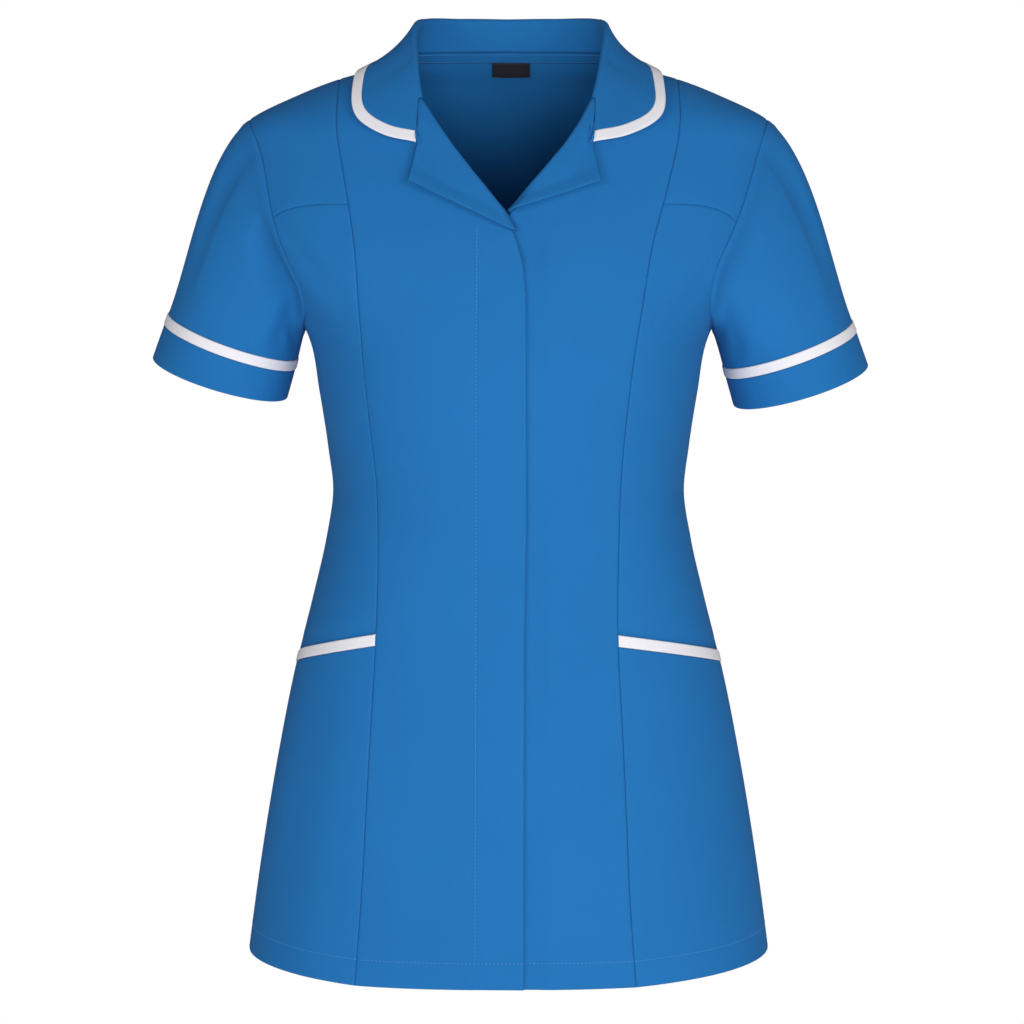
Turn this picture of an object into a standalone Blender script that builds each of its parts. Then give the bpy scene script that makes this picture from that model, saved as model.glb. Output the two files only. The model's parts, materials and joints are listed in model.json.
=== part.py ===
# A nurse's short-sleeved tunic, worn and hollow, one solid for each sewn piece.
# Metres, +Z up, the front faces -Y and the wearer's left is +X.
# The origin is the nape, on the inner side of the cloth at the centre back neck seam.
import bpy
import numpy as np

NAME = "medical_tunic"

# Cloth and seams
CLOTH = 0.0016
COLLAR_CLOTH = 0.0018
TRIM_CLOTH = 0.0022
SEAM_GAP = 0.0008
NECK_GAP = 0.0014
ARM_GAP = 0.0005
BESIDE = 0.0022
TURN_RADIUS = 0.0017
UNDER_LAYER = 0.0021
ON_PANEL = 0.0024
EDGE_LIFT = 0.0013
TRIM_PROUD = 0.0004

# The plane of the side and shoulder seams, in front of the nape
SIDE_Y = -0.0587

# Driving heights
SHOULDER_NECK = -0.0045
SHOULDER_TIP = -0.0570
UNDERARM = -0.2150
CHEST_SEAM_INNER = -0.1228
V_BOTTOM = -0.1296
CHEST_SEAM_OUTER = {"right": -0.1330, "left": -0.1365}
POCKET_INNER = -0.4475
POCKET_OUTER = -0.4710
HEM_MIDDLE = -0.7128
HEM_SIDE = -0.7025

# Bands
COLLAR_TRIM_WIDTH = 0.0094
POCKET_TRIM_WIDTH = 0.0090
TAPE_WIDTH = 0.0075
TAPE_INSIDE = 0.0027
LABEL_WIDTH = 0.030
LABEL_HEIGHT = 0.0094

# Cells of the pieces
NECK_ROWS = 5
REVERS_ROWS = 6
ARM_ROWS = 5
WAIST_ROWS = 9
SKIRT_ROWS = 10
FRONT_COLUMNS = 6
SIDE_COLUMNS = 4
BACK_NECK_COLUMNS = 10
BACK_ARM_ROWS = 14

# Rings of the worn body: height, half width, depth in front of the side
# seams, depth behind them, and the power of the ring's rounded curve
LEVELS = (
    (0.005, 0.0612, 0.022, 0.0560, 2.20),
    (-0.002, 0.0772, 0.027, 0.0605, 2.20),
    (-0.010, 0.0890, 0.035, 0.0660, 2.20),
    (-0.018, 0.1020, 0.041, 0.0720, 2.20),
    (-0.026, 0.1300, 0.047, 0.0790, 2.20),
    (-0.041, 0.1682, 0.058, 0.0880, 2.22),
    (-0.056, 0.1982, 0.067, 0.0950, 2.27),
    (-0.087, 0.2092, 0.081, 0.1040, 2.32),
    (-0.127, 0.2062, 0.097, 0.1090, 2.40),
    (-0.172, 0.1882, 0.112, 0.1090, 2.42),
    (-0.222, 0.1552, 0.121, 0.1030, 2.38),
    (-0.267, 0.1462, 0.120, 0.0950, 2.35),
    (-0.307, 0.1402, 0.111, 0.0860, 2.32),
    (-0.345, 0.1362, 0.104, 0.0810, 2.32),
    (-0.382, 0.1417, 0.102, 0.0840, 2.32),
    (-0.427, 0.1522, 0.105, 0.0950, 2.32),
    (-0.487, 0.1672, 0.111, 0.1100, 2.32),
    (-0.547, 0.1792, 0.116, 0.1210, 2.32),
    (-0.617, 0.1912, 0.121, 0.1270, 2.32),
    (-0.697, 0.2027, 0.126, 0.1310, 2.32),
    (-0.757, 0.2102, 0.130, 0.1340, 2.32))

# Princess seams: height, distance from the middle on the wearer's right, and left
PRINCESS = (
    (-0.026, 0.1299, 0.1299),
    (-0.063, 0.1304, 0.1300),
    (-0.108, 0.1230, 0.1204),
    (-0.153, 0.1158, 0.1082),
    (-0.198, 0.1123, 0.1006),
    (-0.243, 0.1090, 0.0936),
    (-0.289, 0.1046, 0.0883),
    (-0.334, 0.1000, 0.0850),
    (-0.380, 0.0990, 0.0836),
    (-0.448, 0.1004, 0.0828),
    (-0.515, 0.1042, 0.0859),
    (-0.583, 0.1079, 0.0889),
    (-0.651, 0.1117, 0.0919),
    (-0.715, 0.1167, 0.0967))

# Armholes between the shoulder tip and the underarm: height, and distance from
# the middle at the front on the wearer's right, at the front on the left, and
# at the back on both sides
ARMHOLE = (
    (-0.084, 0.1889, 0.1903, 0.1930),
    (-0.112, 0.1829, 0.1817, 0.1870),
    (-0.130, 0.1795, 0.1753, 0.1830),
    (-0.149, 0.1738, 0.1672, 0.1775),
    (-0.169, 0.1652, 0.1580, 0.1700),
    (-0.186, 0.1574, 0.1538, 0.1630),
    (-0.204, 0.1546, 0.1528, 0.1588))

# The neck seam and the collar round it, from the centre back to the gorge.
# Turn is 2 at the centre back, 1 on the shoulder and 0 at the centre front.
# Columns: place, seam turn, seam height, the roll's x, y and z, the edge's x, y and z
COLLAR = (
    (0.00, 2.00, 0.0000, 0.0000, -0.0035, 0.0235, 0.0000, 0.0180, -0.0210),
    (0.14, 1.60, -0.0008, 0.0380, -0.0115, 0.0235, 0.0520, 0.0130, -0.0235),
    (0.28, 1.25, -0.0025, 0.0625, -0.0335, 0.0220, 0.0880, -0.0060, -0.0220),
    (0.43, 1.00, -0.0045, 0.0700, -0.0580, 0.0170, 0.1050, -0.0500, -0.0170),
    (0.60, 0.61, -0.0130, 0.0710, -0.0835, -0.0020, 0.1170, -0.0920, -0.0345),
    (0.75, 0.37, -0.0280, 0.0690, -0.1000, -0.0200, 0.1150, -0.1180, -0.0580),
    (0.88, 0.30, -0.0370, 0.0675, -0.1090, -0.0315, 0.0940, -0.1310, -0.0710),
    (1.00, 0.252, -0.0450, 0.0655, -0.1165, -0.0425, 0.0697, -0.1365, -0.0765))
# The collar on the wearer's left sits a little farther out at the shoulder and
# nearer the middle at the gorge. Columns: place, and what is added there to the
# seam turn, the roll's x and the edge's x
COLLAR_LEAN = (
    (0.00, 0.000, 0.0000, 0.0000),
    (0.14, 0.000, 0.0010, 0.0000),
    (0.28, 0.000, 0.0030, 0.0005),
    (0.43, 0.000, 0.0040, 0.0010),
    (0.60, 0.000, 0.0015, 0.0000),
    (0.75, 0.000, 0.0000, 0.0000),
    (0.88, -0.003, -0.0010, -0.0030),
    (1.00, -0.009, -0.0020, -0.0060))

# Front edges below the gorge, x towards the wearer's left: height and x
LAP_RIGHT = (
    (-0.0450, -0.0680),
    (-0.0650, -0.0550),
    (-0.0814, -0.0436),
    (-0.1000, -0.0290),
    (V_BOTTOM, -0.0047),
    (-0.1450, 0.0040),
    (-0.1660, 0.0105),
    (-0.1900, 0.0130),
    (-0.3600, 0.0136),
    (-0.4475, 0.0120),
    (-0.7150, 0.0114))
LAP_LEFT = (
    (-0.0450, 0.0655),
    (-0.0630, 0.0560),
    (-0.0784, 0.0456),
    (-0.0995, 0.0279),
    (V_BOTTOM, 0.0008),
    (-0.1450, -0.0100),
    (-0.1700, -0.0230),
    (-0.2000, -0.0275),
    (-0.3600, -0.0280),
    (-0.4475, -0.0290),
    (-0.7150, -0.0300))
# The stretch over which the left front dips below the right front
DIP_STARTS = 0.034
DIP_ENDS = 0.0175

# Revers: x and height of the notch, of the tip and of the lower corner
REVERS_RIGHT = ((-0.0677, -0.0766), (-0.0746, -0.1075), (0.0050, -0.1440))
REVERS_LEFT = ((0.0592, -0.0771), (0.0690, -0.1080), (0.0065, -0.1290))

# Sleeve rings: outer x and height, inner x and height, half depth, and how
# much lower the front of the ring is
SLEEVE_RINGS = {
    "trim_top": (0.2652, -0.2090, 0.1663, -0.2440, 0.0500, 0.0075),
    "trim_bottom": (0.2684, -0.2170, 0.1683, -0.2520, 0.0510, 0.0075),
    "cuff_bottom": (0.2780, -0.2435, 0.1748, -0.2750, 0.0535, 0.0080)}
# Each arm hangs a little differently: outward and upward shift of its rings
SLEEVE_FULLNESS = 0.82
SLEEVE_SHIFT = {"right": (-0.0015, 0.003), "left": (0.0015, -0.003)}

# Colours and finishes
BLUE = (0.020, 0.178, 0.482, 1.0)
WHITE = (0.830, 0.820, 0.855, 1.0)
BLACK = (0.014, 0.014, 0.020, 1.0)


def through(rows, place):
    """A smooth curve through the rows, whose first column is the place."""
    table = np.asarray(rows, dtype=float)
    if table[0, 0] > table[-1, 0]:
        table = table[::-1]
    places = table[:, 0]
    values = table[:, 1:]
    slopes = np.gradient(values, places, axis=0)
    place = np.asarray(place, dtype=float)
    low = np.clip(np.searchsorted(places, place) - 1, 0, len(places) - 2)
    width = places[low + 1] - places[low]
    t = ((place - places[low]) / width)[..., None]
    step = width[..., None]
    start = (1 + 2 * t) * (1 - t) ** 2 * values[low] + t * (1 - t) ** 2 * step * slopes[low]
    end = t * t * (3 - 2 * t) * values[low + 1] + t * t * (t - 1) * step * slopes[low + 1]
    return start + end


def along(rows, place):
    """Straight stretches between the rows, whose first column is the place."""
    table = np.asarray(rows, dtype=float)
    if table[0, 0] > table[-1, 0]:
        table = table[::-1]
    columns = [np.interp(place, table[:, 0], table[:, k]) for k in range(1, table.shape[1])]
    return np.stack(columns, axis=-1)


def form(turn, height):
    """The worn body: a rounded ring at each height, turned from the centre front."""
    turn, height = np.broadcast_arrays(np.asarray(turn, float), np.asarray(height, float))
    ring = through(LEVELS, height)
    sine = np.sin(turn * np.pi / 2)
    depth = np.where(np.abs(turn) <= 1, -ring[..., 1], ring[..., 2])
    power = ring[..., 3]
    share = np.clip(1 - np.abs(sine) ** power, 0, None) ** (1 / power)
    return np.stack([ring[..., 0] * sine, SIDE_Y + depth * share, height], axis=-1)


def form_normal(turn, height):
    """The outward direction of the worn body."""
    step_turn = 0.012
    step_height = 0.0015
    across = form(turn + step_turn, height) - form(turn - step_turn, height)
    upward = form(turn, height + step_height) - form(turn, height - step_height)
    normal = np.cross(across, upward)
    normal /= np.linalg.norm(normal, axis=-1, keepdims=True)
    middle = form(turn, height) - np.array([0, SIDE_Y, 0])
    facing = np.sign(normal[..., 0] * middle[..., 0] + normal[..., 1] * middle[..., 1])
    return normal * facing[..., None]


def turn_of(x, height, behind=False):
    """The turn at which the ring of this height is x away from the middle."""
    half_width = through(LEVELS, height)[..., 0]
    turn = np.arcsin(np.clip(x / half_width, -1, 1)) * 2 / np.pi
    return 2 - turn if behind else turn


def even(points, count, power=1.0):
    """Points of turn and height, spaced again at even distances on the body,
    or with a power above 1 closer together at their start."""
    places = form(points[:, 0], points[:, 1])
    steps = np.linalg.norm(np.diff(places, axis=0), axis=1)
    length = np.concatenate([[0], np.cumsum(steps)])
    wanted = length[-1] * np.linspace(0, 1, count + 1) ** power
    return np.stack([np.interp(wanted, length, points[:, k]) for k in (0, 1)], axis=-1)


def seam(x_of_height, top, bottom, count, top_on_ridge=False):
    """A seam between two heights, given by its distance from the middle."""
    heights = top + (bottom - top) * np.linspace(0, 1, 160) ** 2
    turns = turn_of(x_of_height(heights), heights)
    if top_on_ridge:
        turns[0] = 1.0
    return even(np.stack([turns, heights], axis=-1), count)


def armhole(column):
    """The armhole from the shoulder tip to the underarm, as turns and heights,
    through one column of distances; column 3 is the back's."""
    last = len(ARMHOLE) + 1.0
    tip = float(through(LEVELS, SHOULDER_TIP)[0])
    underarm = float(through(LEVELS, UNDERARM)[0])
    rows = [(0.0, tip, SHOULDER_TIP)]
    for number, row in enumerate(ARMHOLE):
        rows.append((number + 1.0, row[column], row[0]))
    rows.append((last, underarm, UNDERARM))
    # the places lie closer together towards both ends, where the turn runs fast
    place = last * (1 - np.cos(np.linspace(0, np.pi, 400))) / 2
    points = through(rows, place)
    turns = turn_of(points[:, 0], points[:, 1], behind=column == 3)
    turns[[0, -1]] = 1.0
    return np.stack([turns, points[:, 1]], axis=-1)


def front_armhole(side):
    """The front armhole in two stretches, above and below the chest seam."""
    points = armhole(1 if side == "right" else 2)
    split = int(np.argmin(np.abs(points[:, 1] - CHEST_SEAM_OUTER[side])))
    upper = even(points[:split + 1], NECK_ROWS + REVERS_ROWS)
    lower = even(points[split:], ARM_ROWS)
    return upper, lower


def back_armhole():
    """The back armhole, with rows closer together near the shoulder."""
    return even(armhole(3), BACK_ARM_ROWS, 1.4)


def between(first, last, count, curve=1.0):
    """Rows of turn and height between two seams; curve bends their heights."""
    share = np.linspace(0, 1, count + 1)[None, :]
    turns = first[:, None, 0] + (last - first)[:, None, 0] * share
    bend = np.broadcast_to(np.asarray(curve, float), (len(first),))[:, None]
    heights = first[:, None, 1] + (last - first)[:, None, 1] * share ** bend
    return turns, heights


def ease(grid, sides, gap):
    """The grid with the borders named in sides drawn in by the gap."""
    eased = grid.copy()
    borders = {
        "top": (0, 1, 0),
        "bottom": (-1, -2, 0),
        "first": (0, 1, 1),
        "last": (-1, -2, 1)}
    for side in sides:
        edge, inside, axis = borders[side]
        outer = np.take(grid, edge, axis=axis)
        way = np.take(grid, inside, axis=axis) - outer
        way /= np.linalg.norm(way, axis=-1, keepdims=True)
        if axis == 0:
            eased[edge] += way * gap
        else:
            eased[:, edge] += way * gap
    return eased


def mirrored(grid, side):
    """The grid for the wearer's right or left, given for the left."""
    sign = -1.0 if side == "right" else 1.0
    return grid * np.array([sign, 1.0, 1.0])


def fabric(name, colour, roughness):
    """A Principled BSDF material."""
    material = bpy.data.materials.new(name)
    material.use_nodes = True
    shader = material.node_tree.nodes["Principled BSDF"]
    shader.inputs["Base Color"].default_value = colour
    shader.inputs["Roughness"].default_value = roughness
    shader.inputs["Metallic"].default_value = 0.0
    material.diffuse_color = colour
    return material


def wall(name, grid, thickness, colour, roughness=0.85, ring=False):
    """An open surface through the grid, made a wall of cloth by Solidify."""
    rows, columns = grid.shape[:2]
    wraps = columns if ring else columns - 1
    faces = []
    for row in range(rows - 1):
        for column in range(wraps):
            after = (column + 1) % columns
            here = row * columns
            below = here + columns
            faces.append((here + column, below + column, below + after, here + after))
    mesh = bpy.data.meshes.new(name)
    mesh.from_pydata(grid.reshape(-1, 3).tolist(), [], faces)
    mesh.update()
    mesh.materials.append(fabric(name + "_cloth", colour, roughness))
    piece = bpy.data.objects.new(name, mesh)
    collection.objects.link(piece)
    piece.parent = holder
    solid = piece.modifiers.new("cloth", "SOLIDIFY")
    solid.thickness = thickness
    solid.offset = 0.0
    return piece


def princess_seams(side):
    """The princess seam's points in its stretches: above the chest seam, to
    the underarm, to the pocket, and to the hem."""
    column = 0 if side == "right" else 1
    def x_at(height):
        return through(PRINCESS, height)[..., column]
    breaks = (PRINCESS[0][0], CHEST_SEAM_INNER, UNDERARM + 0.004, POCKET_INNER, HEM_MIDDLE)
    counts = (NECK_ROWS + REVERS_ROWS, ARM_ROWS, WAIST_ROWS, SKIRT_ROWS)
    parts = []
    for number, count in enumerate(counts):
        ridge = number == 0
        parts.append(seam(x_at, breaks[number], breaks[number + 1], count, ridge))
    return parts


def side_seam():
    """The side seam's points in its stretches, to the pocket and to the hem."""
    waist = np.linspace(UNDERARM, POCKET_OUTER, WAIST_ROWS + 1)
    skirt = np.linspace(POCKET_OUTER, HEM_SIDE, SKIRT_ROWS + 1)
    return [np.stack([np.ones_like(part), part], axis=-1) for part in (waist, skirt)]


def joined(*parts):
    """Stretches of one seam, end to end."""
    rows = [parts[0]]
    rows += [part[1:] for part in parts[1:]]
    return np.concatenate(rows)


def collar_rows(side, place):
    """The collar's numbers at each place; the wearer's left adds its own changes."""
    row = through(COLLAR, place)
    if side == "left":
        lean = through(COLLAR_LEAN, place)
        row[..., 0] += lean[..., 0]
        row[..., 2] += lean[..., 1]
        row[..., 5] += lean[..., 2]
    return row


def neck_edge(side):
    """The front neck seam from the shoulder to the gorge, as turns and heights."""
    points = collar_rows(side, np.linspace(COLLAR[3][0], 1.0, 120))[:, :2]
    return even(points, NECK_ROWS)


def lap_edge(side):
    """The front edge from the gorge down, as signed turns and heights."""
    rows = LAP_RIGHT if side == "right" else LAP_LEFT
    sign = -1.0 if side == "right" else 1.0
    breaks = (rows[0][0], V_BOTTOM - 0.002, UNDERARM, POCKET_INNER, HEM_MIDDLE)
    counts = (REVERS_ROWS, ARM_ROWS, WAIST_ROWS, SKIRT_ROWS)
    parts = []
    for number, count in enumerate(counts):
        heights = np.linspace(breaks[number], breaks[number + 1], 60)
        across = along(rows, heights)[..., 0] * sign
        points = np.stack([turn_of(across, heights), heights], axis=-1)
        parts.append(even(points, count))
    return parts


def lap_depth(heights):
    """How far the left front lies below the right one: more at the revers."""
    starts = np.clip((-0.108 - heights) / 0.014, 0, 1)
    at_revers = np.clip((heights + 0.175) / 0.020, 0, 1)
    return starts * (UNDER_LAYER + 0.0014 * at_revers)


def front_centre(side):
    """The centre front, from its front edge to the princess seam."""
    gorge = neck_edge(side)
    edge = lap_edge(side)
    gorge[-1] = edge[0][0]
    inner = joined(gorge, *edge)
    outer = joined(*princess_seams(side))
    turns, heights = between(inner, outer, FRONT_COLUMNS)
    grid = form(turns, heights)
    if side == "left":
        across = np.abs(grid[..., 0]) * np.sign(turns)
        share = np.clip((DIP_STARTS - across) / (DIP_STARTS - DIP_ENDS), 0, 1)
        share = share * share * (3 - 2 * share)
        depth = lap_depth(heights)
        grid -= form_normal(turns, heights) * (depth * share)[..., None]
    grid = ease(grid, ("top", "last"), SEAM_GAP / 2)
    return wall("front_centre_" + side, mirrored(grid, side), CLOTH, BLUE)


def side_front_upper(side):
    """The part of the side front between the shoulder and the chest seam."""
    inner = princess_seams(side)[0]
    outer = front_armhole(side)[0]
    curve = np.linspace(1.0, 3.0, len(inner))
    turns, heights = between(inner, outer, SIDE_COLUMNS, curve)
    grid = ease(form(turns, heights), ("top", "bottom", "first", "last"), SEAM_GAP / 2)
    return wall("side_front_upper_" + side, mirrored(grid, side), CLOTH, BLUE)


def side_front_rows(side):
    """Seam points on both sides of the side front, and the row of the pocket."""
    parts = princess_seams(side)
    arm = front_armhole(side)[1]
    waist, skirt = side_seam()
    inner = joined(*parts[1:])
    outer = joined(arm, waist, skirt)
    return inner, outer, ARM_ROWS + WAIST_ROWS


def side_front(side):
    """The side front from the chest seam to the hem, under the pocket."""
    inner, outer, mouth = side_front_rows(side)
    curve = np.ones(len(inner))
    curve[:3] = (3.0, 2.2, 1.5)
    turns, heights = between(inner, outer, SIDE_COLUMNS, curve)
    depth = np.zeros(len(inner))
    depth[mouth:] = 1.0
    normal = form_normal(turns, heights)
    grid = form(turns, heights) - normal * (UNDER_LAYER * depth)[:, None, None]
    grid = ease(grid, ("top", "first", "last"), SEAM_GAP / 2)
    return wall("side_front_" + side, mirrored(grid, side), CLOTH, BLUE)


def pocket(side):
    """The pocket: a second layer from the trimmed mouth to the hem."""
    inner, outer, mouth = side_front_rows(side)
    turns, heights = between(inner[mouth:], outer[mouth:], SIDE_COLUMNS)
    heights = heights.copy()
    turns = turns.copy()
    drop = POCKET_TRIM_WIDTH + SEAM_GAP
    turns[0] += (turns[1] - turns[0]) * drop / (heights[0] - heights[1])
    heights[0] -= drop
    grid = ease(form(turns, heights), ("first", "last"), SEAM_GAP / 2)
    return wall("pocket_" + side, mirrored(grid, side), CLOTH, BLUE)


def pocket_trim(side):
    """The white band that binds the pocket's mouth."""
    inner, outer, mouth = side_front_rows(side)
    turns, heights = between(inner[mouth:mouth + 2], outer[mouth:mouth + 2], SIDE_COLUMNS)
    share = np.linspace(0, 1, 3)[:, None] * POCKET_TRIM_WIDTH / (heights[0] - heights[1])
    rows_turn = turns[0] + (turns[1] - turns[0]) * share
    rows_height = heights[0] + (heights[1] - heights[0]) * share
    normal = form_normal(rows_turn, rows_height)
    grid = form(rows_turn, rows_height) + normal * TRIM_PROUD
    grid = ease(grid, ("first", "last"), SEAM_GAP / 2)
    return wall("pocket_trim_" + side, mirrored(grid, side), TRIM_CLOTH, WHITE, 0.8)


def back_top():
    """The top of the back: the shoulder from its tip, the neck, the other shoulder."""
    inner = SHOULDER_NECK
    split = PRINCESS[0][0]
    outer = np.linspace(SHOULDER_TIP, split, SIDE_COLUMNS + 1)
    centre = np.linspace(split, inner, FRONT_COLUMNS + 1)
    shoulder = np.concatenate([outer, centre[1:]])
    shoulder = np.stack([np.ones_like(shoulder), shoulder], axis=-1)
    rows = [(row[0], row[1], row[2]) for row in COLLAR]
    half = through(rows, np.linspace(COLLAR[3][0], 0, 120))
    half = even(half, BACK_NECK_COLUMNS // 2)
    points = joined(shoulder, half)
    points[:, 0] = 2 - points[:, 0]
    other = points[::-1][1:].copy()
    other[:, 0] *= -1
    points = np.concatenate([points, other])
    return points


def back():
    """The back, one piece from side seam to side seam; its turn is 0 in the middle."""
    top = back_top()
    arm = back_armhole()
    waist, skirt = side_seam()
    left = joined(arm, waist, skirt)
    left = np.stack([2 - left[:, 0], left[:, 1]], axis=-1)
    columns = len(top)
    share = np.linspace(0, 1, columns)
    # the upper part blends the neck and shoulders into a level row at the
    # underarm, by turns near the shoulder ridge and by distances below it
    rows = BACK_ARM_ROWS + 1
    side_line = left[:rows]
    down = ((side_line[:, 1] - SHOULDER_TIP) / (UNDERARM - SHOULDER_TIP))[:, None]
    upper = np.zeros((rows, columns, 2))
    upper[..., 1] = (1 - down) * (top[:, 1] - SHOULDER_TIP) + side_line[:, 1:]
    by_turn = (1 - down) * top[:, 0] + down * (1 - 2 * share)
    by_turn = by_turn + (1 - 2 * share) * (side_line[:, :1] - 1)
    top_x = form(2 - top[:, 0], top[:, 1])[:, 0]
    low_x = form(1 + 2 * share, UNDERARM)[:, 0]
    side_x = form(2 - side_line[:, 0], side_line[:, 1])[:, :1]
    by_x = (1 - down) * top_x + down * low_x
    by_x = by_x + (1 - 2 * share) * (side_x - by_x[:, :1])
    by_x = np.sign(by_x) * turn_of(np.abs(by_x), upper[..., 1])
    blend = np.clip(np.linspace(0, 1, rows) / 0.5, 0, 1)[:, None]
    blend = blend * blend * (3 - 2 * blend)
    upper[..., 0] = by_turn * (1 - blend) + by_x * blend
    lower = np.zeros((len(left) - rows, columns, 2))
    lower[..., 0] = 1 - 2 * share
    # the hem is a little lower in the middle than at the sides
    bend = np.linspace(0, 1, len(left) - rows) ** 2
    sag = (HEM_MIDDLE - HEM_SIDE) * np.cos((share - 0.5) * np.pi)[None, :] * bend[:, None]
    lower[..., 1] = left[rows:, 1][:, None] + sag
    whole = np.concatenate([upper, lower])
    grid = form(2 - whole[..., 0], whole[..., 1])
    grid = ease(grid, ("top", "first", "last"), SEAM_GAP / 2)
    return wall("back", grid, CLOTH, BLUE)


def unit(vectors):
    """The vectors, one long."""
    return vectors / np.linalg.norm(vectors, axis=-1, keepdims=True)


def sleeve_ring(name, side, angles):
    """One ring of the sleeve, from its outer point round by the front."""
    outer_x, outer_z, inner_x, inner_z, depth, dip = SLEEVE_RINGS[name]
    shift_x, shift_z = SLEEVE_SHIFT[side]
    outer = np.array([outer_x + shift_x, SIDE_Y, outer_z + shift_z])
    inner = np.array([inner_x + shift_x, SIDE_Y, inner_z + shift_z])
    front = np.array([0, -depth, -dip])
    middle = (outer + inner) / 2
    across = (outer - inner) / 2
    return middle + np.cos(angles)[:, None] * across + np.sin(angles)[:, None] * front


def armhole_loop(side):
    """Points round the armhole, the body's outward direction and the way the
    cloth leaves at each, and their angles."""
    upper, lower = front_armhole(side)
    front = joined(upper, lower)
    rear = back_armhole()
    loop = np.concatenate([front, rear[::-1][1:-1]])
    places = form(loop[:, 0], loop[:, 1])
    normal = form_normal(loop[:, 0], loop[:, 1])
    tangent = unit(np.roll(places, -1, axis=0) - np.roll(places, 1, axis=0))
    leaving = unit(np.cross(normal, tangent))
    steps = np.linalg.norm(np.diff(places[:len(front)], axis=0), axis=1)
    angles_front = np.concatenate([[0], np.cumsum(steps)]) / steps.sum() * np.pi
    rear_places = form(rear[:, 0], rear[:, 1])
    steps = np.linalg.norm(np.diff(rear_places, axis=0), axis=1)
    share = np.concatenate([[0], np.cumsum(steps)]) / steps.sum()
    angles_rear = 2 * np.pi - share[::-1][1:-1] * np.pi
    angles = np.concatenate([angles_front, angles_rear])
    return places, normal, leaving, angles


def sleeve(side):
    """The sleeve: it leaves the armhole along the body and hangs to its trim."""
    places, normal, leaving, angles = armhole_loop(side)
    ring = sleeve_ring("trim_top", side, angles)
    lower = sleeve_ring("trim_bottom", side, angles)
    hang = unit(lower - ring)
    # at the underarm the sleeve starts beside the body and hangs straight to its trim
    straight = ((1 - np.cos(angles)) / 2)[:, None] ** 3
    leaving = unit(leaving * (1 - straight) + unit(ring - places) * straight)
    start = places + leaving * ARM_GAP + normal * BESIDE * straight
    reach = np.linalg.norm(ring - start, axis=1, keepdims=True) * SLEEVE_FULLNESS
    rows = []
    for t in (0.0, 0.035, 0.12, 0.24, 0.38, 0.53, 0.69, 0.85, 1.0):
        row = (1 + 2 * t) * (1 - t) ** 2 * start + t * (1 - t) ** 2 * reach * leaving
        row = row + t * t * (3 - 2 * t) * ring + t * t * (t - 1) * reach * hang
        rows.append(row)
    grid = np.stack(rows)
    return wall("sleeve_" + side, mirrored(grid, side), CLOTH, BLUE, ring=True)


def sleeve_band(name, side, upper, lower, rows, thickness, colour, proud):
    """A band round the sleeve between two rings."""
    angles = armhole_loop(side)[3]
    top = sleeve_ring(upper, side, angles)
    bottom = sleeve_ring(lower, side, angles)
    way = unit(bottom - top)
    top = top + way * SEAM_GAP
    share = np.linspace(0, 1, rows + 1)[:, None, None]
    grid = top + (bottom - top) * share
    outward = unit(np.cross(np.roll(top, -1, axis=0) - np.roll(top, 1, axis=0), way))
    middle = top.mean(axis=0)
    outward *= np.sign(np.sum(outward * (top - middle), axis=1, keepdims=True))
    grid = grid + outward * proud
    return wall(name + "_" + side, mirrored(grid, side), thickness, colour, ring=True)


def turned_edge(seam_points, normal, away, radius, turns=(-90, -30, 30, 90)):
    """The cloth's turn over an edge: from below the panel round to on top of it."""
    rows = []
    start = seam_points + away * NECK_GAP + normal * (ON_PANEL - 2 * radius)
    rows.append(start)
    centre = seam_points + away * (NECK_GAP + 0.0004) + normal * (ON_PANEL - radius)
    for degrees in turns:
        angle = np.radians(degrees)
        rows.append(centre + away * radius * np.cos(angle) + normal * radius * np.sin(angle))
    return rows


def revers(side):
    """The lapel: it rolls over the front edge of the V and lies on the front."""
    edge = lap_edge(side)[0]
    corners = REVERS_RIGHT if side == "right" else REVERS_LEFT
    sign = -1.0 if side == "right" else 1.0
    notch, tip, low = [np.array([sign * x, z]) for x, z in corners]
    count = 8
    heights = np.linspace(edge[0, 1], low[1], 80)
    rows = LAP_RIGHT if side == "right" else LAP_LEFT
    across = along(rows, heights)[..., 0] * sign
    line = np.stack([across, heights], axis=-1)
    line = line[np.linspace(0, 79, count + 1).astype(int)]
    line[0] = line[0] + (line[1] - line[0]) * 0.026
    outer = notch + (tip - notch) * np.linspace(0, 1, count + 1)[:, None] ** 0.9
    turn_line = turn_of(line[:, 0], line[:, 1])
    place = form(turn_line, line[:, 1])
    normal = form_normal(turn_line, line[:, 1])
    tangent = unit(np.gradient(place, axis=0))
    away = unit(np.cross(normal, tangent))
    away *= np.sign(np.sum(away * (np.array([-1.0, 0, 0.5])), axis=1, keepdims=True))
    radius = TURN_RADIUS
    if side == "left":
        depth = lap_depth(line[:, 1])
        across = line[:, 0]
        share = np.clip((DIP_STARTS - across) / (DIP_STARTS - DIP_ENDS), 0, 1)
        place = place - normal * (depth * share)[:, None]
    section = turned_edge(place, normal, away, radius)
    columns = 7
    for share in np.linspace(0, 1, columns + 1)[1:]:
        point = line + (outer - line) * share
        turn = turn_of(point[:, 0], point[:, 1])
        section.append(form(turn, point[:, 1]) + form_normal(turn, point[:, 1]) * ON_PANEL)
    grid = np.stack(section, axis=1)
    return wall("revers_" + side, mirrored(grid, side), COLLAR_CLOTH, BLUE)


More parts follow.
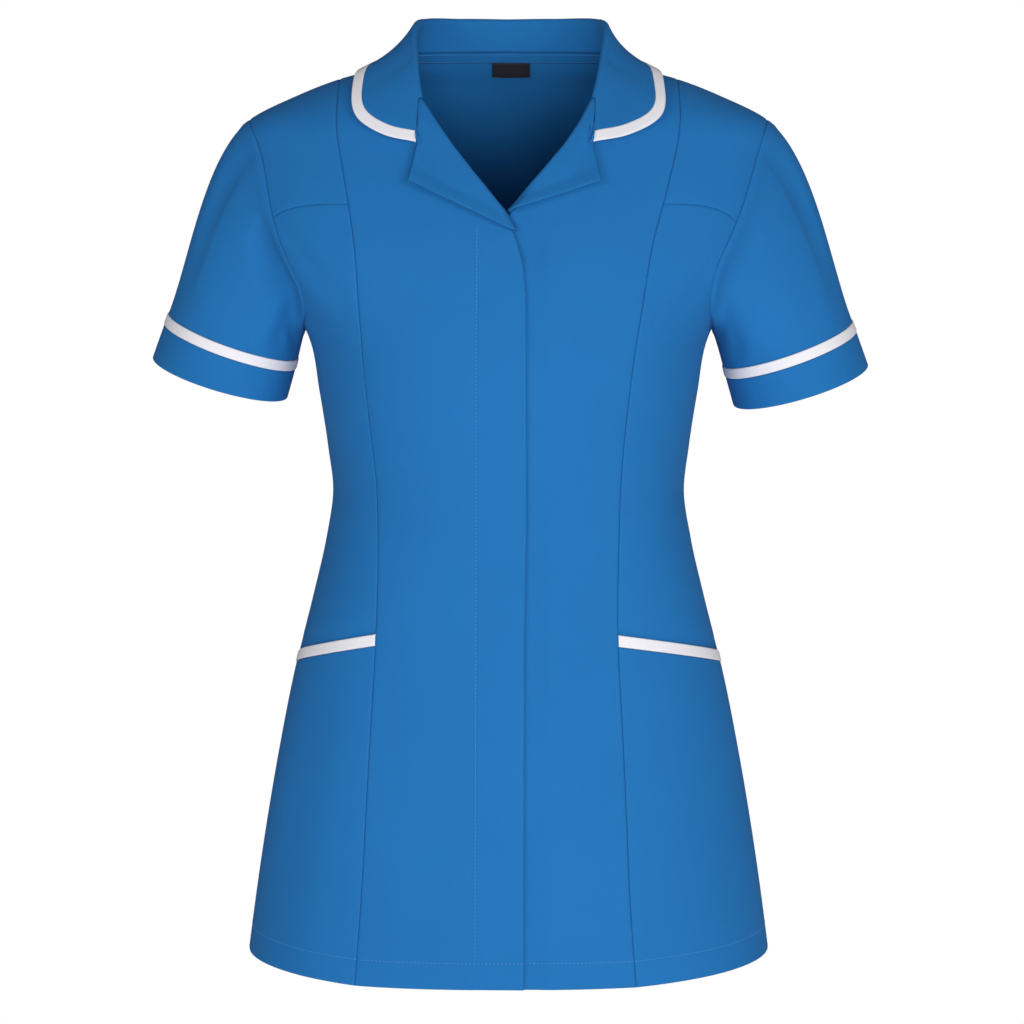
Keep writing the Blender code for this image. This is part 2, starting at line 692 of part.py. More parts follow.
def collar_sections(side):
    """Half of the collar with its trim: sections from the seam to the outer edge."""
    place = np.concatenate([
        np.linspace(0, 0.34, 7)[:-1], np.linspace(0.34, 0.52, 8)[:-1], np.linspace(0.52, 1.0, 12)])
    row = collar_rows(side, place)
    seam_points = form(row[:, 0], row[:, 1])
    normal = form_normal(row[:, 0], row[:, 1])
    roll = row[:, 2:5]
    edge = outside(row[:, 5:8], ON_PANEL + EDGE_LIFT, exactly=True)
    upward = unit(roll - seam_points)
    outward = unit(normal - upward * np.sum(upward * normal, axis=1, keepdims=True))
    height = np.linalg.norm(roll - seam_points, axis=1, keepdims=True)
    radius = 0.0023 + (TURN_RADIUS - 0.0023) * place[:, None] ** 2
    height = np.maximum(height, NECK_GAP + 0.0004 + radius)
    inside = outward * (ON_PANEL - 2 * radius)
    centre = seam_points + upward * (height - radius) + outward * (ON_PANEL - radius)
    start = seam_points + upward * NECK_GAP + inside
    top = seam_points + upward * (height - radius) + inside
    rows = [start, (start + top) / 2]
    for degrees in (-90, -30, 30, 90):
        angle = np.radians(degrees)
        rows.append(centre + upward * radius * np.cos(angle) + outward * radius * np.sin(angle))
    fall = rows[-1]
    bend = seam_points + outward * (ON_PANEL + 0.0012) + upward * 0.002
    for t in np.linspace(0, 1, 7)[1:]:
        point = (1 - t) ** 2 * fall + 2 * t * (1 - t) * bend + t * t * edge
        rows.append(outside(point, ON_PANEL))
    return np.stack(rows, axis=1)


def outside(points, lift, exactly=False):
    """The points moved to stand at least, or exactly, the lift above the body."""
    moved = points.copy()
    step = 0.0002
    def over(place):
        ring = through(LEVELS, np.minimum(place[..., 2], 0.004))
        depth = np.where(place[..., 1] < SIDE_Y, ring[..., 1], ring[..., 2])
        power = ring[..., 3]
        size = np.abs(place[..., 0] / ring[..., 0]) ** power
        size = size + np.abs((place[..., 1] - SIDE_Y) / depth) ** power
        return size ** (1 / power) - 1
    for _ in range(6):
        slope = []
        for axis in np.eye(3):
            slope.append((over(moved + axis * step) - over(moved - axis * step)) / (2 * step))
        slope = np.stack(slope, axis=-1)
        size = np.linalg.norm(slope, axis=-1)
        distance = over(moved) / size
        short = lift - distance
        if not exactly:
            short = np.clip(short, 0, None)
        short[points[..., 2] > 0.002] = 0
        moved += slope / size[..., None] * short[..., None]
    return moved


def whole_round():
    """The collar's sections from the right gorge, round the back, to the left one."""
    other = collar_sections("right")[::-1][:-1] * np.array([-1.0, 1.0, 1.0])
    return np.concatenate([other, collar_sections("left")])


def band_edge(sections, width):
    """The sections' lower part cut at the width from the outer edge."""
    body = []
    band = []
    for section in sections:
        steps = np.linalg.norm(np.diff(section, axis=0), axis=1)
        length = np.concatenate([[0], np.cumsum(steps)])
        cut = length[-1] - width
        keep = np.linspace(length[-7], cut - SEAM_GAP, 6)[1:]
        whole = list(section[:len(section) - 6])
        for wanted in keep:
            whole.append([np.interp(wanted, length, section[:, k]) for k in range(3)])
        body.append(whole)
        strip = []
        for wanted in np.linspace(cut, length[-1], 3):
            strip.append([np.interp(wanted, length, section[:, k]) for k in range(3)])
        band.append(strip)
    return np.array(body), np.array(band)


def collar():
    """The collar's stand and fall, without its bound edge."""
    body = band_edge(whole_round(), COLLAR_TRIM_WIDTH)[0]
    return wall("collar", body, COLLAR_CLOTH, BLUE)


def collar_trim():
    """The white band that binds the collar's outer edge."""
    band = band_edge(whole_round(), COLLAR_TRIM_WIDTH)[1]
    return wall("collar_trim", band, TRIM_CLOTH, WHITE, 0.8)


def neck_tape():
    """The tape over the back neck seam, on the inner side of the back."""
    turn = np.linspace(1.16, 2.84, 19)
    reach = np.abs(turn - 2)
    top = through([(row[1], row[2]) for row in COLLAR[:4]], 2 - reach)[..., 0]
    rows = []
    for share in (0.0, 0.5, 1.0):
        height = top - 0.0012 - TAPE_WIDTH * share
        mirrored_turn = 2 - reach
        place = form(mirrored_turn, height)
        place -= form_normal(mirrored_turn, height) * TAPE_INSIDE
        place[:, 0] *= np.where(turn > 2, -1, 1)
        rows.append(place)
    return wall("neck_tape", np.stack(rows), 0.0010, BLUE)


def label():
    """The plain black label below the tape, with no mark on it."""
    across = np.linspace(-LABEL_WIDTH / 2, LABEL_WIDTH / 2, 5) + 0.002
    rows = []
    for share in (0.0, 0.5, 1.0):
        height = np.full(5, -0.0096 - LABEL_HEIGHT * share)
        turn = turn_of(np.abs(across), height, behind=True)
        place = form(turn, height)
        place -= form_normal(turn, height) * TAPE_INSIDE
        place[:, 0] = across
        rows.append(place)
    return wall("label", np.stack(rows), 0.0010, BLACK, 0.6)


for thing in list(bpy.data.objects):
    bpy.data.objects.remove(thing, do_unlink=True)

collection = bpy.data.collections.new(NAME)
bpy.context.scene.collection.children.link(collection)
holder = bpy.data.objects.new(NAME + "_nape", None)
collection.objects.link(holder)

back()
for wearer_side in ("right", "left"):
    front_centre(wearer_side)
    side_front_upper(wearer_side)
    side_front(wearer_side)
    pocket(wearer_side)
    pocket_trim(wearer_side)
    sleeve(wearer_side)
    sleeve_band("sleeve_trim", wearer_side, "trim_top", "trim_bottom", 1,
                TRIM_CLOTH, WHITE, TRIM_PROUD)
    sleeve_band("cuff", wearer_side, "trim_bottom", "cuff_bottom", 2, CLOTH, BLUE, 0.0)
    revers(wearer_side)
collar()
collar_trim()
neck_tape()
label()
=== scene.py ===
# %% [markdown]
# A nurse's tunic in woven cloth
#
# This lesson dresses a ready-made CAD frame of a short-sleeved tunic, worn by nobody and hollow.
# Every sewn piece of the real garment becomes one thin shell here: back, fronts, pockets, sleeves,
# cuffs, revers, collar, bindings, neck tape and label. The shells follow the same sizes as the CAD
# solids, and add what a solid can't carry: soft folds, turned seams, stitches and a weave.

# %% Load the frame
import json
import math

import bpy
import numpy as np
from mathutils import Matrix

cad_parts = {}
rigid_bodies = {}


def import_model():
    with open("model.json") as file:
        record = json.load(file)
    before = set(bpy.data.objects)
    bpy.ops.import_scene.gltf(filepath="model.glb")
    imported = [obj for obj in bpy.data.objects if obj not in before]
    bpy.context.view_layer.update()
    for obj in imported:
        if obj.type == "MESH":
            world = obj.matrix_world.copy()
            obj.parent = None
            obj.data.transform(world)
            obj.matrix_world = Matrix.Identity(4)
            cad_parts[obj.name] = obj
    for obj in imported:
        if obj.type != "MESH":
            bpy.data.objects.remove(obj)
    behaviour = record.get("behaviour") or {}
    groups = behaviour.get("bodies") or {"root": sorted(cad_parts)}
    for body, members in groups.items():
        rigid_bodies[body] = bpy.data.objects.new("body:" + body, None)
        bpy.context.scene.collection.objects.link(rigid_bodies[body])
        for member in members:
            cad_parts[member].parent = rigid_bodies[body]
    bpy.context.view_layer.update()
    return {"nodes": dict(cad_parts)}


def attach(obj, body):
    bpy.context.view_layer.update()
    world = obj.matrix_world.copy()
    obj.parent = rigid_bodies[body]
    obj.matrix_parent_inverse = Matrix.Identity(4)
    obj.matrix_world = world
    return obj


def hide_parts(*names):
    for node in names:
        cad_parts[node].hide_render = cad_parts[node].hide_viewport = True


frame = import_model()
print(len(frame["nodes"]), "sewn pieces in the frame")

# %% [markdown]
# The sizes of the garment
#
# A tailor keeps sizes in a table, and so does this script. Heights are below the nape, in metres,
# the front faces -Y and the wearer's left is +X. The body under the cloth is a stack of rounded
# rings. A turn of 0 is the centre front, 1 is the side and shoulder seam, and 2 is the centre back.
# Tables with few rows and a smooth curve through them give a calm surface, which sculpting by hand
# would not, and they keep the look and the CAD solids on one form.

# %% Rings of the worn body
SIDE_Y = -0.0587
# height, half width, depth in front of the side seams, depth behind them, power of the rounding
LEVELS = (
    (0.005, 0.0612, 0.022, 0.0560, 2.20),
    (-0.002, 0.0772, 0.027, 0.0605, 2.20),
    (-0.010, 0.0890, 0.035, 0.0660, 2.20),
    (-0.018, 0.1020, 0.041, 0.0720, 2.20),
    (-0.026, 0.1300, 0.047, 0.0790, 2.20),
    (-0.041, 0.1682, 0.058, 0.0880, 2.22),
    (-0.056, 0.1982, 0.067, 0.0950, 2.27),
    (-0.087, 0.2092, 0.081, 0.1040, 2.32),
    (-0.127, 0.2062, 0.097, 0.1090, 2.40),
    (-0.172, 0.1882, 0.112, 0.1090, 2.42),
    (-0.222, 0.1552, 0.121, 0.1030, 2.38),
    (-0.267, 0.1462, 0.120, 0.0950, 2.35),
    (-0.307, 0.1402, 0.111, 0.0860, 2.32),
    (-0.345, 0.1362, 0.104, 0.0810, 2.32),
    (-0.382, 0.1417, 0.102, 0.0840, 2.32),
    (-0.427, 0.1522, 0.105, 0.0950, 2.32),
    (-0.487, 0.1672, 0.111, 0.1100, 2.32),
    (-0.547, 0.1792, 0.116, 0.1210, 2.32),
    (-0.617, 0.1912, 0.121, 0.1270, 2.32),
    (-0.697, 0.2027, 0.126, 0.1310, 2.32),
    (-0.757, 0.2102, 0.130, 0.1340, 2.32))
print("rings of the body:", len(LEVELS))

# %% Seams and edges
SHOULDER_NECK = -0.0045
SHOULDER_TIP = -0.0570
UNDERARM = -0.2150
CHEST_SEAM_INNER = -0.1228
CHEST_SEAM_OUTER = {"right": -0.1330, "left": -0.1365}
POCKET_INNER = -0.4475
POCKET_OUTER = -0.4710
HEM_MIDDLE = -0.7128
HEM_SIDE = -0.7025
# height, distance from the middle on the wearer's right, and left
PRINCESS = (
    (-0.026, 0.1299, 0.1299),
    (-0.063, 0.1304, 0.1300),
    (-0.108, 0.1230, 0.1204),
    (-0.153, 0.1158, 0.1082),
    (-0.198, 0.1123, 0.1006),
    (-0.243, 0.1090, 0.0936),
    (-0.289, 0.1046, 0.0883),
    (-0.334, 0.1000, 0.0850),
    (-0.380, 0.0990, 0.0836),
    (-0.448, 0.1004, 0.0828),
    (-0.515, 0.1042, 0.0859),
    (-0.583, 0.1079, 0.0889),
    (-0.651, 0.1117, 0.0919),
    (-0.715, 0.1167, 0.0967))
# height, distance from the middle at the front on the wearer's right, and left, and at the back
ARMHOLE = (
    (-0.084, 0.1889, 0.1903, 0.1930),
    (-0.112, 0.1829, 0.1817, 0.1870),
    (-0.130, 0.1795, 0.1753, 0.1830),
    (-0.149, 0.1738, 0.1672, 0.1775),
    (-0.169, 0.1652, 0.1580, 0.1700),
    (-0.186, 0.1574, 0.1538, 0.1630),
    (-0.204, 0.1546, 0.1528, 0.1588))
V_BOTTOM = -0.1296
# height and x of the front edges, towards the wearer's left
LAP_RIGHT = (
    (-0.0450, -0.0680),
    (-0.0650, -0.0550),
    (-0.0814, -0.0436),
    (-0.1000, -0.0290),
    (V_BOTTOM, -0.0047),
    (-0.1450, 0.0040),
    (-0.1660, 0.0105),
    (-0.1900, 0.0130),
    (-0.3600, 0.0136),
    (-0.4475, 0.0120),
    (-0.7150, 0.0114))
LAP_LEFT = (
    (-0.0450, 0.0655),
    (-0.0630, 0.0560),
    (-0.0784, 0.0456),
    (-0.0995, 0.0279),
    (V_BOTTOM, 0.0008),
    (-0.1450, -0.0100),
    (-0.1700, -0.0230),
    (-0.2000, -0.0275),
    (-0.3600, -0.0280),
    (-0.4475, -0.0290),
    (-0.7150, -0.0300))
LAP = {"right": LAP_RIGHT, "left": LAP_LEFT}
# every side piece is drawn as the wearer's left one, and its x is multiplied by this
SIGN = {"right": -1.0, "left": 1.0, "middle": 1.0}
print("back length", round(-HEM_MIDDLE * 100, 1), "cm")

# %% Collar, revers and sleeves
# place, seam turn, seam height, the roll's x, y and z, the edge's x, y and z
COLLAR = (
    (0.00, 2.00, 0.0000, 0.0000, -0.0035, 0.0235, 0.0000, 0.0180, -0.0210),
    (0.14, 1.60, -0.0008, 0.0380, -0.0115, 0.0235, 0.0520, 0.0130, -0.0235),
    (0.28, 1.25, -0.0025, 0.0625, -0.0335, 0.0220, 0.0880, -0.0060, -0.0220),
    (0.43, 1.00, -0.0045, 0.0700, -0.0580, 0.0170, 0.1050, -0.0500, -0.0170),
    (0.60, 0.61, -0.0130, 0.0710, -0.0835, -0.0020, 0.1170, -0.0920, -0.0345),
    (0.75, 0.37, -0.0280, 0.0690, -0.1000, -0.0200, 0.1150, -0.1180, -0.0580),
    (0.88, 0.30, -0.0370, 0.0675, -0.1090, -0.0315, 0.0940, -0.1310, -0.0710),
    (1.00, 0.252, -0.0450, 0.0655, -0.1165, -0.0425, 0.0697, -0.1365, -0.0765))
# place, and what the wearer's left adds to the seam turn, the roll's x and the edge's x
COLLAR_LEAN = (
    (0.00, 0.000, 0.0000, 0.0000),
    (0.14, 0.000, 0.0010, 0.0000),
    (0.28, 0.000, 0.0030, 0.0005),
    (0.43, 0.000, 0.0040, 0.0010),
    (0.60, 0.000, 0.0015, 0.0000),
    (0.75, 0.000, 0.0000, 0.0000),
    (0.88, -0.003, -0.0010, -0.0030),
    (1.00, -0.009, -0.0020, -0.0060))
# x and height of the notch, of the tip and of the lower corner
REVERS = {
    "right": ((-0.0677, -0.0766), (-0.0746, -0.1075), (0.0050, -0.1440)),
    "left": ((0.0592, -0.0771), (0.0690, -0.1080), (0.0065, -0.1290))}
# outer x and height, inner x and height, half depth, how much lower the front is
SLEEVE_RINGS = {
    "trim_top": (0.2652, -0.2090, 0.1663, -0.2440, 0.0500, 0.0075),
    "trim_bottom": (0.2684, -0.2170, 0.1683, -0.2520, 0.0510, 0.0075),
    "cuff_bottom": (0.2780, -0.2435, 0.1748, -0.2750, 0.0535, 0.0080)}
SLEEVE_FULLNESS = 0.82
SLEEVE_SHIFT = {"right": (-0.0015, 0.003), "left": (0.0015, -0.003)}
COLLAR_TRIM_WIDTH = 0.0094
POCKET_TRIM_WIDTH = 0.0090
TAPE_WIDTH = 0.0075
LABEL_WIDTH = 0.030
LABEL_HEIGHT = 0.0094
print("collar places:", len(COLLAR), "sleeve rings:", len(SLEEVE_RINGS))

# %% [markdown]
# Curves through the tables
#
# Two ways of reading a table are needed. A smooth one, whose slope at each row comes from its
# neighbours, draws the body, the armholes and the collar. A straight one draws the front edges,
# so the V of the neck keeps the few bends that its table gives it.

# %% Smooth and straight readings of a table
def rising(rows):
    """The table with its first column rising."""
    table = np.asarray(rows, dtype=float)
    return table[::-1] if table[0, 0] > table[-1, 0] else table


def through(rows, place):
    """A smooth curve: between two rows, the cubic that has both rows' values and slopes."""
    table = rising(rows)
    places = table[:, 0]
    values = table[:, 1:]
    slopes = np.gradient(values, places, axis=0)
    place = np.asarray(place, dtype=float)
    low = np.clip(np.searchsorted(places, place) - 1, 0, len(places) - 2)
    width = places[low + 1] - places[low]
    t = ((place - places[low]) / width)[..., None]
    step = width[..., None]
    start = (1 + 2 * t) * (1 - t) ** 2 * values[low] + t * (1 - t) ** 2 * step * slopes[low]
    end = t * t * (3 - 2 * t) * values[low + 1] + t * t * (t - 1) * step * slopes[low + 1]
    return start + end


def along(rows, place):
    """Straight stretches: the value moves evenly from one row to the next."""
    return np.interp(place, *rising(rows).T)


def smooth(share):
    """A soft step from 0 to 1: three times the square less twice the cube."""
    share = np.clip(share, 0, 1)
    return share * share * (3 - 2 * share)


def unit(vectors):
    """The vectors divided by their lengths."""
    return vectors / np.linalg.norm(vectors, axis=-1, keepdims=True)


print("waist half width", round(float(through(LEVELS, -0.345)[0]) * 1000), "mm")

# %% [markdown]
# The worn body
#
# A body is neither a circle nor a box. Each ring is a curve between them: x is the half width times
# the sine of the turn, and the depth is what is left of one when x is raised to a power, so a power
# above 2 squares the ring off a little. Front and back have their own depths.

# %% The form and its outward direction
STEP_TURN = 0.012
STEP_HEIGHT = 0.0015


def form(turn, height):
    """x = half width times sine; y = depth times (1 - |sine| ^ power) ^ (1 / power)."""
    turn, height = np.broadcast_arrays(np.asarray(turn, float), np.asarray(height, float))
    ring = through(LEVELS, height)
    sine = np.sin(turn * np.pi / 2)
    depth = np.where(np.cos(turn * np.pi / 2) >= 0, -ring[..., 1], ring[..., 2])
    power = ring[..., 3]
    share = np.clip(1 - np.abs(sine) ** power, 0, None) ** (1 / power)
    return np.stack([ring[..., 0] * sine, SIDE_Y + depth * share, height], axis=-1)


def form_normal(turn, height):
    """The cross product of a small step round the ring and a small step up the body."""
    across = form(turn + STEP_TURN, height) - form(turn - STEP_TURN, height)
    upward = form(turn, height + STEP_HEIGHT) - form(turn, height - STEP_HEIGHT)
    normal = unit(np.cross(across, upward))
    middle = form(turn, height) - np.array([0, SIDE_Y, 0])
    facing = np.sign(normal[..., 0] * middle[..., 0] + normal[..., 1] * middle[..., 1])
    return normal * facing[..., None]


def turn_of(x, height, behind=False):
    """The turn whose sine is x over the half width at this height."""
    half_width = through(LEVELS, height)[..., 0]
    turn = np.arcsin(np.clip(x / half_width, -1, 1)) * 2 / np.pi
    return 2 - turn if behind else turn


print("front of the bust at", np.round(form(0.0, -0.2) * 1000), "mm")

# %% [markdown]
# Seam lines
#
# A panel is cut by its seams, so the seams come first, as rows of turn and height. Each is spaced
# at even distances on the body, and neighbours share the same line, so no gap opens between them.

# %% Spacing along a line
NECK_ROWS = 18
REVERS_ROWS = 26
ARM_ROWS = 22
WAIST_ROWS = 56
SKIRT_ROWS = 60
BACK_ARM_ROWS = 56


def lengths(places):
    """Distance of each point from the first one of its column: the sum of the steps before it."""
    steps = np.linalg.norm(np.diff(places, axis=0), axis=-1)
    return np.concatenate([np.zeros_like(steps[:1]), np.cumsum(steps, axis=0)])


def even(points, count, power=1.0):
    """Points at even distances on the body, or with a power above 1 closer at the start."""
    length = lengths(form(points[:, 0], points[:, 1]))
    wanted = length[-1] * np.linspace(0, 1, count + 1) ** power
    return np.stack([np.interp(wanted, length, points[:, k]) for k in (0, 1)], axis=-1)


def joined(*parts):
    """Stretches of one line, end to end, with shared points kept once."""
    return np.concatenate([parts[0]] + [part[1:] for part in parts[1:]])


print("rows down a front:", NECK_ROWS + REVERS_ROWS + ARM_ROWS + WAIST_ROWS + SKIRT_ROWS)

# %% Princess, side, neck and front edges
def princess_seams(side):
    """The seam over the bust in four stretches, from the table of distances."""
    column = 0 if side == "right" else 1
    breaks = (PRINCESS[0][0], CHEST_SEAM_INNER, UNDERARM + 0.004, POCKET_INNER, HEM_MIDDLE)
    counts = (NECK_ROWS + REVERS_ROWS, ARM_ROWS, WAIST_ROWS, SKIRT_ROWS)
    parts = []
    for number, count in enumerate(counts):
        low = breaks[number + 1]
        heights = breaks[number] + (low - breaks[number]) * np.linspace(0, 1, 300) ** 2
        turns = turn_of(through(PRINCESS, heights)[..., column], heights)
        if number == 0:
            turns[0] = 1.0
        parts.append(even(np.stack([turns, heights], axis=-1), count))
    return parts


def side_seam():
    """The side seam at turn 1, above and below the pocket's mouth."""
    waist = np.linspace(UNDERARM, POCKET_OUTER, WAIST_ROWS + 1)
    skirt = np.linspace(POCKET_OUTER, HEM_SIDE, SKIRT_ROWS + 1)
    return [np.stack([np.ones_like(part), part], axis=-1) for part in (waist, skirt)]


def collar_rows(side, place):
    """The collar's numbers at each place, with the left side's own changes."""
    row = through(COLLAR, place)
    if side == "left":
        lean = through(COLLAR_LEAN, place)
        row[..., 0] += lean[..., 0]
        row[..., 2] += lean[..., 1]
        row[..., 5] += lean[..., 2]
    return row


def neck_edge(side):
    """The front neck seam from the shoulder down to the gorge."""
    return even(collar_rows(side, np.linspace(COLLAR[3][0], 1.0, 120))[:, :2], NECK_ROWS)


def lap_edge(side):
    """The front edge: down the V, then down the overlap to the hem."""
    breaks = (LAP[side][0][0], V_BOTTOM - 0.002, UNDERARM, POCKET_INNER, HEM_MIDDLE)
    counts = (REVERS_ROWS, ARM_ROWS, WAIST_ROWS, SKIRT_ROWS)
    parts = []
    for number, count in enumerate(counts):
        heights = np.linspace(breaks[number], breaks[number + 1], 90)
        across = along(LAP[side], heights) * SIGN[side]
        points = np.stack([turn_of(across, heights), heights], axis=-1)
        parts.append(even(points, count))
    return parts


print("princess seam points:", sum(len(part) for part in princess_seams("left")))

# %% Armholes
def armhole(column):
    """A smooth curve of distance and height through its table's rows, from the shoulder tip to the
    underarm; places = number of rows x (1 - cosine) / 2, so they are close at both ends."""
    last = len(ARMHOLE) + 1.0
    rows = [(0.0, float(through(LEVELS, SHOULDER_TIP)[0]), SHOULDER_TIP)]
    for number, row in enumerate(ARMHOLE):
        rows.append((number + 1.0, row[column], row[0]))
    rows.append((last, float(through(LEVELS, UNDERARM)[0]), UNDERARM))
    points = through(rows, last * (1 - np.cos(np.linspace(0, np.pi, 900))) / 2)
    turns = turn_of(points[:, 0], points[:, 1], behind=column == 3)
    turns[[0, -1]] = 1.0
    return np.stack([turns, points[:, 1]], axis=-1)


def front_armhole(side):
    """The front armhole above and below the chest seam."""
    points = armhole(1 if side == "right" else 2)
    split = int(np.argmin(np.abs(points[:, 1] - CHEST_SEAM_OUTER[side])))
    upper = even(points[:split + 1], NECK_ROWS + REVERS_ROWS)
    return upper, even(points[split:], ARM_ROWS)


def back_armhole():
    """The back armhole, with points closer together near the shoulder."""
    return even(armhole(3), BACK_ARM_ROWS, 1.4)


print("armhole points:", len(armhole(1)))

# %% [markdown]
# Folds that stay where the cloth is pulled
#
# A worn tunic is calm over the chest and restless where it bends: soft troughs run from the
# armpits, short ones cross the waist at the sides, and the skirt falls in long shallow waves. A
# cloth simulation would find its own folds, and seldom these. So each fold is a row of numbers: its
# two ends, how far it bows, its width and its depth, and no two are alike.

# %% The folds of the body
# metres of cloth for one turn, and the share of a turn over which folds fade at the side seams
ROUND = 0.25
SIDE_CALM = 0.14
# turn and height of the start, turn and height of the end, bow, width, depth in metres
BODY_FOLDS = (
    (-0.70, -0.128, -0.50, -0.205, 0.006, 0.0085, -0.0013),
    (-0.74, -0.150, -0.58, -0.215, 0.003, 0.0070, 0.0009),
    (-0.86, -0.176, -0.63, -0.236, -0.004, 0.0100, -0.0011),
    (0.71, -0.136, 0.54, -0.214, -0.005, 0.0095, -0.0010),
    (0.80, -0.168, 0.64, -0.228, 0.004, 0.0080, 0.0008),
    (0.92, -0.198, 0.68, -0.246, 0.003, 0.0110, -0.0009),
    (-1.02, -0.300, -0.72, -0.322, 0.004, 0.0080, -0.0009),
    (-1.10, -0.334, -0.66, -0.345, -0.003, 0.0095, -0.0012),
    (-1.04, -0.366, -0.76, -0.366, 0.002, 0.0080, 0.0008),
    (0.70, -0.314, 1.06, -0.305, 0.004, 0.0090, -0.0010),
    (0.62, -0.352, 1.12, -0.341, 0.004, 0.0100, -0.0011),
    (0.78, -0.379, 1.03, -0.372, -0.002, 0.0070, 0.0007),
    (-0.84, -0.420, -0.90, -0.730, 0.008, 0.0260, 0.0018),
    (-0.62, -0.470, -0.66, -0.740, -0.006, 0.0220, -0.0012),
    (-0.28, -0.520, -0.30, -0.740, 0.004, 0.0240, 0.0008),
    (-0.17, -0.650, 0.03, -0.642, 0.003, 0.0075, -0.0008),
    (-0.15, -0.679, 0.05, -0.673, -0.002, 0.0070, 0.0007),
    (0.12, -0.622, 0.30, -0.629, 0.003, 0.0080, -0.0006),
    (0.33, -0.500, 0.36, -0.740, 0.005, 0.0250, 0.0009),
    (0.66, -0.450, 0.70, -0.735, -0.007, 0.0230, -0.0014),
    (0.90, -0.430, 0.93, -0.740, 0.006, 0.0250, 0.0016),
    (-1.36, -0.470, -1.33, -0.740, 0.006, 0.0300, -0.0032),
    (-1.62, -0.440, -1.58, -0.740, -0.008, 0.0280, 0.0028),
    (-1.86, -0.500, -1.84, -0.740, 0.004, 0.0260, -0.0026),
    (1.90, -0.470, 1.92, -0.740, 0.004, 0.0290, 0.0030),
    (1.62, -0.480, 1.66, -0.740, 0.006, 0.0270, -0.0030),
    (1.34, -0.450, 1.38, -0.740, -0.005, 0.0290, 0.0026),
    (-1.30, -0.150, -1.62, -0.232, 0.010, 0.0120, -0.0020),
    (-1.24, -0.186, -1.50, -0.262, 0.006, 0.0110, 0.0015),
    (-1.16, -0.212, -1.40, -0.292, -0.004, 0.0110, -0.0014),
    (1.28, -0.142, 1.66, -0.226, -0.010, 0.0130, -0.0018),
    (1.22, -0.180, 1.52, -0.252, -0.006, 0.0110, 0.0016),
    (1.14, -0.216, 1.44, -0.300, 0.004, 0.0100, -0.0015),
    (-1.24, -0.322, -1.80, -0.334, 0.006, 0.0095, -0.0019),
    (-1.40, -0.352, -1.96, -0.350, -0.005, 0.0100, 0.0015),
    (-1.18, -0.374, -1.68, -0.384, 0.004, 0.0105, -0.0016),
    (1.20, -0.330, 1.70, -0.318, -0.004, 0.0100, -0.0018),
    (1.34, -0.357, 1.90, -0.349, 0.005, 0.0095, 0.0014),
    (1.16, -0.386, 1.74, -0.372, 0.004, 0.0110, -0.0017),
    (-1.50, -0.060, -1.72, -0.132, 0.004, 0.0160, -0.0010),
    (1.54, -0.058, 1.70, -0.126, -0.005, 0.0170, -0.0011))


def folds(rows, across, up):
    """Sum of depth x exp(-(distance / width)^2) x a fade towards both ends of each fold."""
    field = np.zeros(np.broadcast(across, up).shape)
    for start_across, start_up, end_across, end_up, bow, width, depth in rows:
        way_across = end_across - start_across
        way_up = end_up - start_up
        length = math.hypot(way_across, way_up)
        t = ((across - start_across) * way_across + (up - start_up) * way_up) / length ** 2
        t = np.clip(t, 0, 1)
        bowed = 4 * t * (1 - t) * bow / length
        off_across = across - start_across - t * way_across + bowed * way_up
        off_up = up - start_up - t * way_up - bowed * way_across
        distance = np.hypot(off_across, off_up)
        field = field + depth * np.exp(-(distance / width) ** 2) * np.sin(np.pi * t) ** 0.8
    return field


def body_folds(grid, side):
    """The body's folds, with turns made into distances round the body; flat at the side seams."""
    turn = grid[..., 0] * SIGN[side]
    signed = np.where(turn > 2, turn - 4, turn)
    rows = [(a * ROUND, b, c * ROUND, *rest) for a, b, c, *rest in BODY_FOLDS]
    at_side = smooth(np.abs(np.abs(signed) - 1) / SIDE_CALM)
    return folds(rows, signed * ROUND, grid[..., 1]) * at_side


print("folds on the body:", len(BODY_FOLDS))

# %% [markdown]
# Grids that are fine where it matters
#
# A seam in thin cloth is a groove under a millimetre deep, so the grid needs points a third of a
# millimetre apart beside it, and only there. Each grid is measured along its rows and columns and
# spaced again: at chosen distances from both ends, and evenly between. The same measuring gives the
# distance of every point from each border, which then turns the cloth in at the seams.

# %% Spacing a grid again
def respaced(values, places, near_start, near_end, count):
    """Rows at the wanted distances; values move evenly between the old rows beside them."""
    length = lengths(places)
    whole = length[-1]
    flat = np.ones_like(whole)
    parts = [np.asarray(near_start)[:, None] * flat]
    if len(near_end):
        last = whole - np.asarray(near_end)[::-1, None] * flat
        share = np.linspace(0, 1, count + 2)[1:-1, None]
        parts.append(parts[0][-1] + (last[0] - parts[0][-1]) * share)
        parts.append(last)
    wanted = np.concatenate(parts)
    low = (length[None] <= wanted[:, None]).sum(axis=1) - 1
    low = np.clip(low, 0, len(length) - 2)
    before = np.take_along_axis(length, low, axis=0)
    after = np.take_along_axis(length, low + 1, axis=0)
    t = ((wanted - before) / (after - before))[..., None]
    start = np.take_along_axis(values, low[..., None], axis=0)
    end = np.take_along_axis(values, low[..., None] + 1, axis=0)
    return start + (end - start) * t, wanted, whole - wanted


def fine(values, place_of, rows, columns):
    """The grid spaced again both ways, and each point's distance from the four borders. The rows
    and the columns each say the steps from the start, those from the end, and the count between."""
    values, down, up = respaced(values, place_of(values), *rows)
    if columns is None:
        return values, {"top": down, "bottom": up}
    values = np.concatenate([values, down[..., None], up[..., None]], axis=-1).swapaxes(0, 1)
    values, out, back = respaced(values, place_of(values), *columns)
    values = values.swapaxes(0, 1)
    far = {"top": values[..., -2], "bottom": values[..., -1], "first": out.T, "last": back.T}
    return values[..., :-2], far


